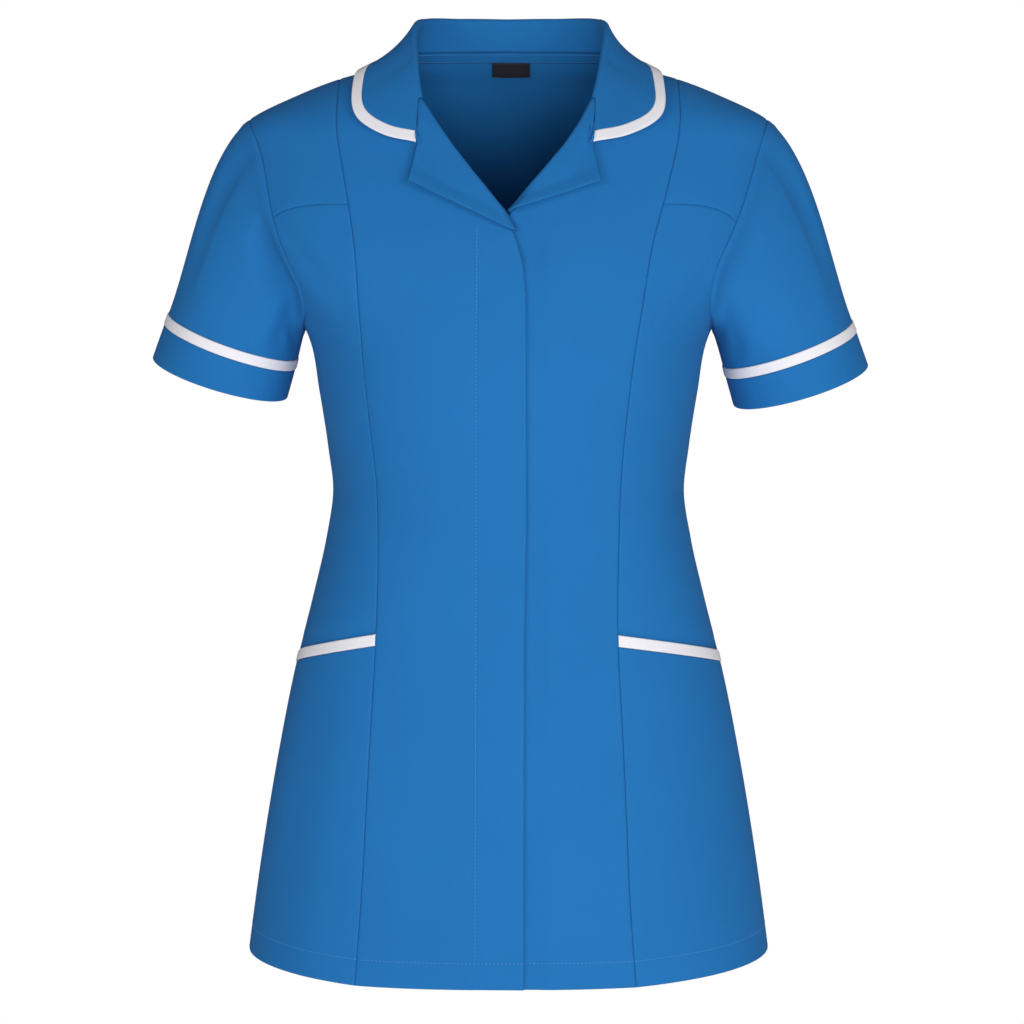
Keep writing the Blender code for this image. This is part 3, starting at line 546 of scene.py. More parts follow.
def fine_panel(grid, rows, columns):
    """A panel of turns and heights: its places on the body, directions, distances and grid."""
    grid, far = fine(grid, lambda values: form(values[..., 0], values[..., 1]), rows, columns)
    turn, height = grid[..., 0], grid[..., 1]
    return form(turn, height), form_normal(turn, height), far, grid


def fine_surface(places, normal, rows, columns=None):
    """A surface of places in space: its fine places, directions and distances."""
    values = np.concatenate([places, normal], axis=-1)
    grid, far = fine(values, lambda values: values[..., :3], rows, columns)
    return grid[..., :3], unit(grid[..., 3:]), far


rod = np.array([[[0.0]], [[1.0]]])
print("five even rows down a metre:", respaced(rod, rod, (0.0,), (0.0,), 3)[1][:, 0].tolist())

# %% Turning the cloth in at a seam or an edge
OUTER = 0.0008
SEAM_STEPS = (0.0, 0.0003, 0.0008, 0.0014, 0.0022)
EDGE_STEPS = (0.0, 0.0003, 0.0007, 0.0012)
# depth and radius of each kind of turning
SEAM = (0.0009, 0.0022)
CHEST_SEAM = (0.0007, 0.0022)
EDGE = (0.0005, 0.0011)
UNDER_BINDING = (0.0006, 0.0014)
BINDING = (0.0008, 0.0012)
BINDING_END = (0.0008, 0.0010)
ROLLED = (0.0007, 0.0012)


def tucked(distance, turning):
    """A quarter round: depth x (1 - square root of (1 - (1 - distance / radius)^2))."""
    depth, radius = turning
    share = np.clip(1 - distance / radius, 0, 1)
    return depth * (1 - np.sqrt(1 - share ** 2))


def turned_in(far, **turnings):
    """The sum of the turnings at the named borders."""
    return sum(tucked(far[border], turning) for border, turning in turnings.items())


def pressed(distance, at, depth=0.00022, width=0.0007):
    """The furrow that a row of stitches pulls in: depth x exp(-((distance - at) / width)^2)."""
    return depth * np.exp(-((distance - at) / width) ** 2)


print("seam groove", SEAM[0] * 1000, "mm deep")

# %% [markdown]
# Materials
#
# The cloth is a plain weave of polyester and cotton: matt, with a faint bloom at grazing angles.
# Its threads are half a millimetre apart, so up close they show as a fine grid, and from afar only
# as a soft grain. The weave runs along each piece's own UV map, which is measured in metres, so it
# follows the cloth. A picture of cloth would do too, but a few nodes stay sharp at any distance.

# %% Woven cloth
SPECKS_A_METRE = 620.0
CLOUDS_A_METRE = 11.0
RELIEF_DEPTH = 0.00012
WEAVE_IN_RELIEF = 0.5
# how much the clouds, the specks and the weave move the colour
CLOUD_SHARE = 0.55
SPECK_SHARE = 0.45
DRIFT = 0.9
WEAVE_IN_COLOUR = 0.08


def math_node(tree, operation, *inputs):
    """A Math node; each input is an output socket or a number."""
    node = tree.nodes.new("ShaderNodeMath")
    node.operation = operation
    for socket, value in zip(node.inputs, inputs):
        if isinstance(value, float):
            socket.default_value = value
        else:
            tree.links.new(value, socket)
    return node.outputs[0]


def grain(tree, coordinates, scale):
    """A Noise node's value at this many blobs a metre."""
    noise = tree.nodes.new("ShaderNodeTexNoise")
    noise.inputs["Scale"].default_value = scale
    noise.inputs["Detail"].default_value = 2.0
    tree.links.new(coordinates, noise.inputs["Vector"])
    return noise.outputs["Fac"]


def woven(name, colour, deep, pitch, roughness, relief, sheen, bloom):
    """Weave height = sine across x sine along, with a loose grain; colour drifts between two."""
    material = bpy.data.materials.new(name)
    material.use_nodes = True
    tree = material.node_tree
    shader = tree.nodes["Principled BSDF"]
    place = tree.nodes.new("ShaderNodeTexCoord")
    split = tree.nodes.new("ShaderNodeSeparateXYZ")
    tree.links.new(place.outputs["UV"], split.inputs["Vector"])
    turns = 2 * math.pi / pitch
    threads = [math_node(tree, "SINE", math_node(tree, "MULTIPLY", split.outputs[axis], turns))
               for axis in (0, 1)]
    weave = math_node(tree, "MULTIPLY", *threads)
    specks = grain(tree, place.outputs["Object"], SPECKS_A_METRE)
    clouds = grain(tree, place.outputs["Object"], CLOUDS_A_METRE)
    bump = tree.nodes.new("ShaderNodeBump")
    bump.inputs["Strength"].default_value = relief
    bump.inputs["Distance"].default_value = RELIEF_DEPTH
    height = math_node(tree, "ADD", math_node(tree, "MULTIPLY", weave, WEAVE_IN_RELIEF), specks)
    tree.links.new(height, bump.inputs["Height"])
    tree.links.new(bump.outputs["Normal"], shader.inputs["Normal"])
    drift = math_node(tree, "MULTIPLY", clouds, CLOUD_SHARE)
    speckled = math_node(tree, "ADD", drift, math_node(tree, "MULTIPLY", specks, SPECK_SHARE))
    mixed = math_node(tree, "MULTIPLY", speckled, DRIFT)
    mixed = math_node(tree, "ADD", mixed, math_node(tree, "MULTIPLY", weave, WEAVE_IN_COLOUR))
    tint = tree.nodes.new("ShaderNodeMix")
    tint.data_type = "RGBA"
    tint.inputs["A"].default_value = (*deep, 1.0)
    tint.inputs["B"].default_value = (*colour, 1.0)
    tree.links.new(mixed, tint.inputs["Factor"])
    tree.links.new(tint.outputs["Result"], shader.inputs["Base Color"])
    looks = {"Roughness": roughness, "Specular IOR Level": 0.25, "Sheen Weight": sheen,
             "Sheen Roughness": 0.45, "Sheen Tint": (*bloom, 1.0)}
    for socket, value in looks.items():
        shader.inputs[socket].default_value = value
    return material


blue_cloth = woven("blue_cloth", (0.0116, 0.170, 0.470), (0.0064, 0.129, 0.378),
                   0.00050, 0.85, 0.60, 0.06, (0.25, 0.50, 1.0))
white_trim = woven("white_trim", (0.825, 0.815, 0.855), (0.74, 0.73, 0.78),
                   0.00042, 0.75, 0.35, 0.05, (1.0, 1.0, 1.0))
label_satin = woven("label_satin", (0.021, 0.021, 0.030), (0.012, 0.012, 0.018),
                    0.00030, 0.45, 0.25, 0.20, (0.6, 0.6, 0.7))
blue_thread = woven("blue_thread", (0.062, 0.275, 0.610), (0.044, 0.225, 0.540),
                    0.00020, 0.50, 0.20, 0.15, (0.5, 0.7, 1.0))
# each finish: its material and the name of its slot
CLOTH = (blue_cloth, "blue_cloth")
TRIM = (white_trim, "white_trim")
SATIN = (label_satin, "black_label")
THREAD = (blue_thread, "blue_cloth")
print("materials:", [material.name for material, slot in (CLOTH, TRIM, SATIN, THREAD)])

# %% [markdown]
# From a grid to a piece of cloth
#
# A grid of places becomes quads, and Solidify gives them a thickness inwards, so both faces of the
# cloth are there. The cut that a tailor would lay out flat is measured from the same grid: its
# width is the longest row, its length the longest column, and its area the sum of the cells.

# %% Building a piece
WALL = 0.0011
made = {}


def placed(name, data, place=(0.0, 0.0, 0.0), turn=(0.0, 0.0, 0.0)):
    """A new object of the scene at its place."""
    thing = bpy.data.objects.new(name, data)
    thing.location = place
    thing.rotation_euler = turn
    bpy.context.scene.collection.objects.link(thing)
    return thing


def add_piece(name, points, faces, finish, thickness=0.0):
    """A smooth mesh that rides on the garment's one body; a wall grows inwards from it."""
    material, slot = finish
    mesh = bpy.data.meshes.new(name)
    mesh.from_pydata(points.reshape(-1, 3).tolist(), [], faces)
    mesh.uv_layers.new(name="metres")
    mesh.polygons.foreach_set("use_smooth", np.ones(len(mesh.polygons), dtype=bool))
    mesh.materials.append(material)
    mesh.update()
    piece = placed(name, mesh)
    if thickness:
        wall = piece.modifiers.new("thickness", "SOLIDIFY")
        wall.thickness = thickness
        wall.offset = -1.0
    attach(piece, "root")
    return piece


def closed(grid, ring):
    """A ring's first column comes again after its last."""
    return np.concatenate([grid, grid[:, :1]], axis=1) if ring else grid


def cells(rows, columns, ring=False):
    """Corner numbers of each quad."""
    index = closed(np.arange(rows * columns).reshape(rows, columns), ring)
    corners = (index[:-1, :-1], index[1:, :-1], index[1:, 1:], index[:-1, 1:])
    return np.stack(corners, axis=-1).reshape(-1, 4)


def sew(part, side, surface, normal, lift, finish, thickness=WALL, ring=False):
    """Places = surface + normal x lift, mirrored for the right; UV = metres along and down."""
    node = part if side == "middle" else f"{part}_{side}"
    mirror = np.array([SIGN[side], 1.0, 1.0])
    places = (surface + normal * lift[..., None]) * mirror
    outward = normal * mirror
    faces = cells(*places.shape[:2], ring)
    whole = closed(places, ring)
    order = cells(*whole.shape[:2])
    points = places.reshape(-1, 3)
    first = points[faces[:, 1]] - points[faces[:, 0]]
    second = points[faces[:, 3]] - points[faces[:, 0]]
    if np.sum(np.cross(first, second) * outward.reshape(-1, 3)[faces[:, 0]]) < 0:
        faces = faces[:, ::-1]
        order = order[:, ::-1]
    piece = add_piece(node + "_cloth", places, faces.tolist(), finish, thickness)
    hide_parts(node)
    along_row = lengths(whole.swapaxes(0, 1)).T
    down = lengths(whole)
    uv = np.stack([along_row, -down], axis=-1).reshape(-1, 2)[order.reshape(-1)]
    piece.data.uv_layers["metres"].data.foreach_set("uv", uv.astype(np.float32).reshape(-1))
    cross = np.cross(whole[1:, 1:] - whole[:-1, :-1], whole[1:, :-1] - whole[:-1, 1:])
    area = float(np.linalg.norm(cross, axis=-1).sum() / 2)
    made[node] = (piece, float(along_row[:, -1].max()), float(down[-1].max()), area)
    return places, outward


def cloth(node, turning=0.0):
    """Prints a finished piece's cut as a sheet: its width, its length with a narrow band's turnings,
    and its area.
    """
    piece, width, length, area = made[node]
    length = length + 2 * turning
    # a sheet's area lies between these shares of its width times its length
    area = min(max(area, 0.31 * width * length), width * length)
    print(node, "cut", round(width * 1000), "x", round(length * 1000), "mm,",
          round(area * 1e4), "square cm")


# %% [markdown]
# Stitches
#
# Each stitch is a short thread that dives into the cloth at both ends. Hundreds of them share one
# mesh: five rings of six points each, laid along the seam at even steps. They are far cheaper than
# curves with a bevel, and they catch the light as a dotted line, as sewing does.

# %% A row of stitches
THREAD_RADIUS = 0.00030
RING_PLACES = np.array([0.0, 0.14, 0.5, 0.86, 1.0])
RING_SWELL = np.array([0.45, 0.9, 1.0, 0.9, 0.45]) * THREAD_RADIUS
RING_RISE = np.array([-0.9, 0.2, 0.5, 0.2, -0.9]) * THREAD_RADIUS


def stitches(name, path, normal, pitch=0.0030, share=0.72):
    """Ring centre = path + normal x rise; ring point = centre + swell x circle."""
    length = lengths(path)
    count = int(length[-1] // pitch)
    begin = (np.arange(count) + 0.14) * pitch
    wanted = begin[:, None] + RING_PLACES * pitch * share
    centre = np.stack([np.interp(wanted, length, path[:, k]) for k in range(3)], axis=-1)
    up = unit(np.stack([np.interp(wanted, length, normal[:, k]) for k in range(3)], axis=-1))
    way = unit(centre[:, -1:] - centre[:, :1])
    side = unit(np.cross(way, up))
    angle = np.arange(6) * np.pi / 3
    circle = np.cos(angle)[:, None] * side[:, :, None] + np.sin(angle)[:, None] * up[:, :, None]
    centre = centre + up * RING_RISE[None, :, None]
    points = centre[:, :, None] + circle * RING_SWELL[None, :, None, None]
    index = np.arange(count * 30).reshape(count, 5, 6)
    after = np.roll(index, -1, axis=2)
    quads = np.stack([index[:, :-1], after[:, :-1], after[:, 1:], index[:, 1:]], axis=-1)
    caps = index[:, 0, ::-1].tolist() + index[:, -1].tolist()
    print(name, count, "stitches")
    return add_piece(name, points, quads.reshape(-1, 4).tolist() + caps, THREAD)


# %% [markdown]
# The front panels
#
# The centre front runs from the shoulder and the neck to the hem, and its free edge laps over the
# other front, so the wearer's left front dips under the right one. A line of stitches down the
# right front holds the hidden fastening. Both fronts are drawn as the left one, and the right one
# is its mirror image, with its own numbers, because people button and sit and stretch unevenly.

# %% A panel between two seams
HEM_STITCH = 0.0200
# distance of the fastening's stitches from the middle, at the hem and at the top
PLACKET_X = (0.0253, 0.0236)
HEM_STEPS = (0.0, 0.0003, 0.0008, 0.0014, 0.0190, 0.0196, HEM_STITCH, 0.0204, 0.0210)
PLACKET_STEPS = SEAM_STEPS + (0.0365, 0.0370, 0.0375, 0.0380, 0.0385, 0.0390, 0.0395)
NARROW = (SEAM_STEPS, SEAM_STEPS, 15)
ARMPIT_CALM = 0.014
# the lap: how far it reaches over the middle, its slope, where it starts, where the revers ends
LAP_REACH = 0.034
LAP_SLOPE = 0.0165
LAP_STARTS = -0.108
REVERS_ENDS = -0.175
LAP_DIP = 0.0021
REVERS_DIP = 0.0014
LAP_LIFT = 0.0008
hem_paths = {}


def between(first, last, count, curve=1.0):
    """Turns move evenly from the first seam to the last; heights as share ^ curve."""
    share = np.linspace(0, 1, count + 1)[None, :]
    turns = first[:, None, 0] + (last - first)[:, None, 0] * share
    bend = np.broadcast_to(np.asarray(curve, float), (len(first),))[:, None]
    heights = first[:, None, 1] + (last - first)[:, None, 1] * share ** bend
    return np.stack([turns, heights], axis=-1)


def calm(grid, distance):
    """Folds fade out near an armhole, above the underarm."""
    above = smooth((grid[..., 1] - (UNDERARM - 0.012)) / 0.020)
    return 1 - above * (1 - smooth(distance / ARMPIT_CALM))


def lap_depth(across, height):
    """How far the left front lies under the right one: more under the revers, none beyond."""
    starts = np.clip((LAP_STARTS - height) / 0.014, 0, 1)
    at_revers = np.clip((height - REVERS_ENDS) / 0.020, 0, 1)
    return starts * (LAP_DIP + REVERS_DIP * at_revers) * smooth((LAP_REACH - across) / LAP_SLOPE)


def keep_hem(name, places, outward):
    """Keeps the row of a grid that runs where the hem is stitched."""
    row = len(places) - 1 - HEM_STEPS.index(HEM_STITCH)
    hem_paths[name] = (places[row], outward[row])


def path_at(places, outward, across, line_x, rows):
    """In each of the rows, the place and direction where across reaches the line's x."""
    numbers = np.arange(places.shape[1])
    column = np.array([np.interp(line_x[row, 0], across[row], numbers) for row in rows])
    whole = column.astype(int)
    part = (column - whole)[:, None]
    return [part * values[rows, whole + 1] + (1 - part) * values[rows, whole]
            for values in (places, outward)]


print("hem stitched", round(HEM_STITCH * 1000), "mm above the edge")

# %% The centre fronts
for side in ("right", "left"):
    gorge = neck_edge(side)
    edge = lap_edge(side)
    gorge[-1] = edge[0][0]
    grid = between(joined(gorge, *edge), joined(*princess_seams(side)), 34)
    surface, normal, far, grid = fine_panel(
        grid, (SEAM_STEPS, HEM_STEPS, 150), (PLACKET_STEPS, SEAM_STEPS, 22))
    across = surface[..., 0]
    height = grid[..., 1]
    lift = OUTER - turned_in(far, top=SEAM, last=SEAM, first=EDGE, bottom=EDGE)
    lift = lift - pressed(far["bottom"], HEM_STITCH)
    lift = lift + body_folds(grid, side) * smooth(far["first"] / 0.03)
    if side == "left":
        lift = lift - lap_depth(across, height)
    else:
        below = smooth((-0.138 - height) / 0.01)
        line_x = np.interp(height, (-0.715, -0.150), PLACKET_X)
        lift = lift - pressed(across, line_x, 0.0004) * below
        # the lap's pressed edge stands up a little from the front under it
        lift = lift + LAP_LIFT * (1 - smooth(far["first"] / 0.010)) * below
    places, outward = sew("front_centre", side, surface, normal, lift, CLOTH)
    keep_hem(f"front_{side}", places, outward)
    if side == "right":
        rows = np.flatnonzero(height[:, 0] < V_BOTTOM - 0.0014)[:-4]
        placket_path = path_at(places, outward, across, line_x, rows)
print("fastening stitched from height", round(float(placket_path[0][0, 2]) * 1000), "mm to the hem")

# %% [markdown]
# The side fronts
#
# Between the princess seam and the side seam lies a narrow panel in two parts. A seam runs across
# the chest from the princess seam into the armhole, and the lower part goes on to the hem, behind
# the pocket. It sinks a little before it reaches the pocket's mouth, so the pocket stands in front.

# %% Upper and lower side fronts
BEHIND_POCKET = 0.0021


def side_lines(side):
    """Both seams of the side front below the chest seam, and the row of the pocket's mouth."""
    inner = joined(*princess_seams(side)[1:])
    outer = joined(front_armhole(side)[1], *side_seam())
    return inner, outer, ARM_ROWS + WAIST_ROWS


for side in ("right", "left"):
    inner = princess_seams(side)[0]
    grid = between(inner, front_armhole(side)[0], 20, np.linspace(1.0, 3.0, len(inner)))
    surface, normal, far, grid = fine_panel(grid, (SEAM_STEPS, SEAM_STEPS, 22), NARROW)
    lift = OUTER - turned_in(far, top=SEAM, bottom=CHEST_SEAM, first=SEAM, last=SEAM)
    lift = lift + body_folds(grid, side) * calm(grid, far["last"])
    sew("side_front_upper", side, surface, normal, lift, CLOTH)

    inner, outer, mouth = side_lines(side)
    number = np.arange(len(inner))
    curve = np.interp(number / ARM_ROWS * 5, (0, 1, 2, 3), (3.0, 2.2, 1.5, 1.0))
    grid = between(inner, outer, 24, curve)
    row_number = np.broadcast_to(number[:, None, None].astype(float), grid.shape[:2] + (1,))
    grid = np.concatenate([grid, row_number], axis=-1)
    surface, normal, far, grid = fine_panel(grid, (SEAM_STEPS, HEM_STEPS, 120), NARROW)
    sunk = BEHIND_POCKET * smooth((grid[..., 2] - mouth + 3.0) / 3.2)
    lift = OUTER - sunk - turned_in(far, top=CHEST_SEAM, first=SEAM, last=SEAM, bottom=EDGE)
    lift = lift + body_folds(grid, side) * calm(grid, far["last"])
    sew("side_front", side, surface, normal, lift, CLOTH)
print("rows above the pocket's mouth:", mouth)

# %% [markdown]
# The pockets and their white bindings
#
# The pocket is a second layer that lies on the side front from a slanted mouth down to the hem,
# caught in both seams. Its mouth is bound with white, which stands a little proud of the cloth.

# %% Pockets and pocket trims
POCKET_WALL = 0.0009
BINDING_WALL = 0.0016
POCKET_TRIM_RISE = 0.0008
POCKET_TRIM_STEPS = (0.0, 0.0003, 0.0007, 0.0012, 0.0020, 0.0032, 0.0045, 0.0058, 0.0070, 0.0078,
                     0.0083, 0.0087, POCKET_TRIM_WIDTH)
for side in ("right", "left"):
    inner, outer, mouth = side_lines(side)
    dense = between(inner[mouth:], outer[mouth:], 24)
    starts = [POCKET_TRIM_WIDTH + step for step in SEAM_STEPS]
    surface, normal, far, grid = fine_panel(dense, (starts, HEM_STEPS, 52), NARROW)
    lift = OUTER - tucked(far["top"] - POCKET_TRIM_WIDTH, UNDER_BINDING)
    lift = lift - turned_in(far, first=SEAM, last=SEAM, bottom=EDGE)
    lift = lift - pressed(far["bottom"], HEM_STITCH) + body_folds(grid, side)
    keep_hem(f"pocket_{side}", *sew("pocket", side, surface, normal, lift, CLOTH, POCKET_WALL))

    surface, normal, far, grid = fine_panel(dense, (POCKET_TRIM_STEPS, (), 0), NARROW)
    lift = OUTER + POCKET_TRIM_RISE - turned_in(far, top=BINDING, first=BINDING_END, last=BINDING_END)
    lift = lift - tucked(POCKET_TRIM_WIDTH - far["top"], BINDING) + body_folds(grid, side)
    sew("pocket_trim", side, surface, normal, lift, TRIM, BINDING_WALL)
print("hems kept for stitching:", list(hem_paths))

# %% [markdown]
# The back
#
# The back is one piece from side seam to side seam, and it can't be a plain strip of rows: its top
# edge climbs over both shoulders and dips at the neck. So its upper part blends that edge into a
# level row at the underarm, and keeps the armholes as they are. Below that its rows are plain, and
# the waist comes from the rings alone, so the back stays one smooth cloth with a few soft folds.

# %% The back's dense grid
def back_top():
    """Shoulder, neck and other shoulder, from the wearer's left to the right."""
    split = PRINCESS[0][0]
    outer = np.linspace(SHOULDER_TIP, split, 21)
    shoulder = np.concatenate([outer, np.linspace(split, SHOULDER_NECK, 25)[1:]])
    shoulder = np.stack([np.ones_like(shoulder), shoulder], axis=-1)
    half = even(through(COLLAR, np.linspace(COLLAR[3][0], 0, 120))[:, :2], 20)
    points = joined(shoulder, half)
    points[:, 0] = 2 - points[:, 0]
    return np.concatenate([points, points[-2::-1] * (-1, 1)])


def back_grid():
    """Upper part: (1 - down) x top edge + down x level row, kept to the armholes at its ends."""
    top = back_top()
    left = joined(back_armhole(), *side_seam())
    left = np.stack([2 - left[:, 0], left[:, 1]], axis=-1)
    share = np.linspace(0, 1, len(top))
    rows = BACK_ARM_ROWS + 1
    side_line = left[:rows]
    down = ((side_line[:, 1] - SHOULDER_TIP) / (UNDERARM - SHOULDER_TIP))[:, None]
    heights = (1 - down) * (top[:, 1] - SHOULDER_TIP) + side_line[:, 1:]
    by_turn = (1 - down) * top[:, 0] + down * (1 - 2 * share)
    by_turn = by_turn + (1 - 2 * share) * (side_line[:, :1] - 1)
    top_x = form(2 - top[:, 0], top[:, 1])[:, 0]
    low_x = form(1 + 2 * share, UNDERARM)[:, 0]
    side_x = form(2 - side_line[:, 0], side_line[:, 1])[:, :1]
    by_x = (1 - down) * top_x + down * low_x
    by_x = by_x + (1 - 2 * share) * (side_x - by_x[:, :1])
    by_x = np.sign(by_x) * turn_of(np.abs(by_x), heights)
    blend = smooth(np.linspace(0, 1, rows) / 0.5)[:, None]
    upper = np.stack([by_turn * (1 - blend) + by_x * blend, heights], axis=-1)
    bend = np.linspace(0, 1, len(left) - rows) ** 2
    sag = (HEM_MIDDLE - HEM_SIDE) * np.cos((share - 0.5) * np.pi)[None, :] * bend[:, None]
    heights = left[rows:, 1][:, None] + sag
    lower = np.stack([np.broadcast_to(1 - 2 * share, heights.shape), heights], axis=-1)
    grid = np.concatenate([upper, lower])
    grid[..., 0] = 2 - grid[..., 0]
    return grid


print("points along the back's top edge:", len(back_top()))

# %% The back's cloth
surface, normal, far, grid = fine_panel(
    back_grid(), (SEAM_STEPS, HEM_STEPS, 150), (SEAM_STEPS, SEAM_STEPS, 110))
lift = OUTER - turned_in(far, top=SEAM, first=SEAM, last=SEAM, bottom=EDGE)
lift = lift - pressed(far["bottom"], HEM_STITCH)
lift = lift + body_folds(grid, "middle") * calm(grid, np.minimum(far["first"], far["last"]))
keep_hem("back", *sew("back", "middle", surface, normal, lift, CLOTH))
print("back grid", surface.shape[:2])

# %% [markdown]
# The sleeves
#
# A set-in sleeve starts at the armhole, leaves it along the shoulder, and hangs to a slanted
# opening. Each of its long lines is a smooth cubic from the armhole to the ring of the white band,
# and it leaves and arrives in the right directions. Folds gather at the front and back of the
# armpit, where the arm hangs down and the cloth has room to spare.

# %% Rings and folds of the sleeve
SLEEVE_ROUND = 0.36
# place round the sleeve and depth down it, start and end, bow, width, depth in metres
SLEEVE_FOLDS = {
    "right": (
        (0.200, -0.021, 0.440, -0.014, 0.000, 0.0135, -0.0092),
        (0.330, -0.008, 0.400, -0.118, 0.006, 0.0090, -0.0030),
        (0.275, -0.004, 0.330, -0.130, 0.007, 0.0100, 0.0013),
        (0.430, -0.020, 0.440, -0.100, 0.003, 0.0080, 0.0012),
        (0.190, -0.050, 0.240, -0.150, -0.004, 0.0160, -0.0008),
        (0.665, -0.010, 0.590, -0.120, -0.006, 0.0100, -0.0026),
        (0.720, -0.020, 0.665, -0.135, -0.006, 0.0110, 0.0016),
        (0.800, -0.030, 0.745, -0.140, 0.004, 0.0130, -0.0014),
        (0.885, -0.050, 0.870, -0.150, 0.003, 0.0160, 0.0010)),
    "left": (
        (0.200, -0.022, 0.450, -0.013, 0.000, 0.0110, -0.0036),
        (0.350, -0.012, 0.405, -0.110, 0.005, 0.0100, -0.0022),
        (0.290, -0.010, 0.345, -0.135, 0.008, 0.0110, 0.0010),
        (0.440, -0.016, 0.452, -0.092, 0.002, 0.0080, 0.0010),
        (0.160, -0.060, 0.215, -0.150, -0.003, 0.0170, -0.0007),
        (0.650, -0.014, 0.585, -0.110, -0.005, 0.0105, -0.0028),
        (0.705, -0.024, 0.655, -0.140, -0.007, 0.0120, 0.0015),
        (0.790, -0.024, 0.735, -0.125, 0.005, 0.0120, -0.0016),
        (0.860, -0.060, 0.850, -0.148, 0.002, 0.0150, 0.0011))}


def sleeve_ring(name, side, angles):
    """Middle + cosine x half of the way across + sine x the way to the front."""
    outer_x, outer_z, inner_x, inner_z, depth, dip = SLEEVE_RINGS[name]
    shift_x, shift_z = SLEEVE_SHIFT[side]
    outer = np.array([outer_x + shift_x, SIDE_Y, outer_z + shift_z])
    inner = np.array([inner_x + shift_x, SIDE_Y, inner_z + shift_z])
    front = np.array([0, -depth, -dip])
    cosine, sine = np.cos(angles)[:, None], np.sin(angles)[:, None]
    return (outer + inner) / 2 + cosine * (outer - inner) / 2 + sine * front


def armhole_loop(side):
    """Places round the armhole, the way the cloth leaves each one, and their angles."""
    front = joined(*front_armhole(side))
    rear = back_armhole()
    loop = np.concatenate([front, rear[::-1][1:-1]])
    places = form(loop[:, 0], loop[:, 1])
    tangent = unit(np.roll(places, -1, axis=0) - np.roll(places, 1, axis=0))
    leaving = unit(np.cross(form_normal(loop[:, 0], loop[:, 1]), tangent))
    ahead = lengths(places[:len(front)])
    behind = lengths(form(rear[:, 0], rear[:, 1]))
    angles_front = ahead / ahead[-1] * np.pi
    angles_rear = 2 * np.pi - behind[::-1][1:-1] / behind[-1] * np.pi
    return places, leaving, np.concatenate([angles_front, angles_rear])


def ring_normal(places):
    """Cross product of the way down and the way round, on a grid that closes on itself."""
    round_way = np.roll(places, -1, axis=1) - np.roll(places, 1, axis=1)
    normal = unit(np.cross(np.gradient(places, axis=0), round_way))
    middle = places.mean(axis=1, keepdims=True)
    return normal * np.sign(np.sum(normal * (places - middle)))


def sleeve_folds(side, angles, down):
    """The sleeve's folds, with angles made into distances round it."""
    rows = [(a * SLEEVE_ROUND, b, c * SLEEVE_ROUND, *rest) for a, b, c, *rest in SLEEVE_FOLDS[side]]
    around = np.broadcast_to(angles / (2 * np.pi), down.shape) * SLEEVE_ROUND
    return folds(rows, around, -down)


print("folds on the sleeves:", [len(rows) for rows in SLEEVE_FOLDS.values()])

# %% Sleeves, their white bands and cuffs
BAND_STEPS = (0.0, 0.0003, 0.0007, 0.0012, 0.0020, 0.0032)
CUFF_STEPS = (0.0, 0.0003, 0.0008, 0.0014, 0.0024)
SEAM_RISE = 0.0006
BAND_RISE = 0.0007
for side in ("right", "left"):
    start, leaving, angles = armhole_loop(side)
    ring, lower, bottom = [sleeve_ring(name, side, angles) for name in SLEEVE_RINGS]
    straight = ((1 - np.cos(angles)) / 2)[:, None] ** 3
    leaving = unit(leaving * (1 - straight) + unit(ring - start) * straight)
    reach = np.linalg.norm(ring - start, axis=1, keepdims=True) * SLEEVE_FULLNESS
    t = np.linspace(0, 1, 60)[:, None, None]
    dense = (1 + 2 * t) * (1 - t) ** 2 * start + t * (1 - t) ** 2 * reach * leaving
    dense = dense + t * t * (3 - 2 * t) * ring + t * t * (t - 1) * reach * unit(lower - ring)
    surface, normal, far = fine_surface(dense, ring_normal(dense), (SEAM_STEPS, SEAM_STEPS, 34))
    lift = OUTER - turned_in(far, top=SEAM, bottom=UNDER_BINDING)
    # the seam's allowance lies under the sleeve's head and lifts it a little
    lift = lift + SEAM_RISE * np.exp(-((far["top"] - 0.0055) / 0.0030) ** 2)
    fade = smooth(far["top"] / 0.010) * smooth(far["bottom"] / 0.020)
    lift = lift + sleeve_folds(side, angles, far["top"]) * fade
    sew("sleeve", side, surface, normal, lift, CLOTH, ring=True)

    t = np.linspace(0, 1, 12)[:, None, None]
    dense = ring + (lower - ring) * t
    surface, normal, far = fine_surface(dense, ring_normal(dense), (BAND_STEPS, BAND_STEPS, 2))
    lift = OUTER + BAND_RISE - turned_in(far, top=BINDING, bottom=BINDING)
    sew("sleeve_trim", side, surface, normal, lift, TRIM, BINDING_WALL, ring=True)

    dense = lower + (bottom - lower) * t
    surface, normal, far = fine_surface(dense, ring_normal(dense), (CUFF_STEPS, CUFF_STEPS, 6))
    lift = OUTER - turned_in(far, top=UNDER_BINDING, bottom=EDGE)
    sew("cuff", side, surface, normal, lift, CLOTH, ring=True)
print("lines down each sleeve:", len(angles))

# %% [markdown]
# The revers
#
# A revers, or lapel, is the front edge of the V rolled outwards. Its cross-section starts behind
# the edge, turns over it in a half circle, and lies on the front, a little proud, so that it casts
# a soft shadow. The stack of sections is the surface.

# %% Rolling over an edge
ON_PANEL = 0.0024
TURN_RADIUS = 0.0017
TURNS = np.radians(np.linspace(-90, 90, 9))
FOLDED_WALL = 0.0017
FOLDED_LIFT = 0.0009


def turned_edge(line, normal, away):
    """Half circle: centre + away x cosine x radius + normal x sine x radius."""
    centre = line + away * 0.0008 + normal * (ON_PANEL - TURN_RADIUS)
    angle = TURNS[:, None, None]
    turn = centre + TURN_RADIUS * (away * np.cos(angle) + normal * np.sin(angle))
    start = line - away * 0.0012 + normal * (ON_PANEL - 2 * TURN_RADIUS)
    return [start] + list(turn)


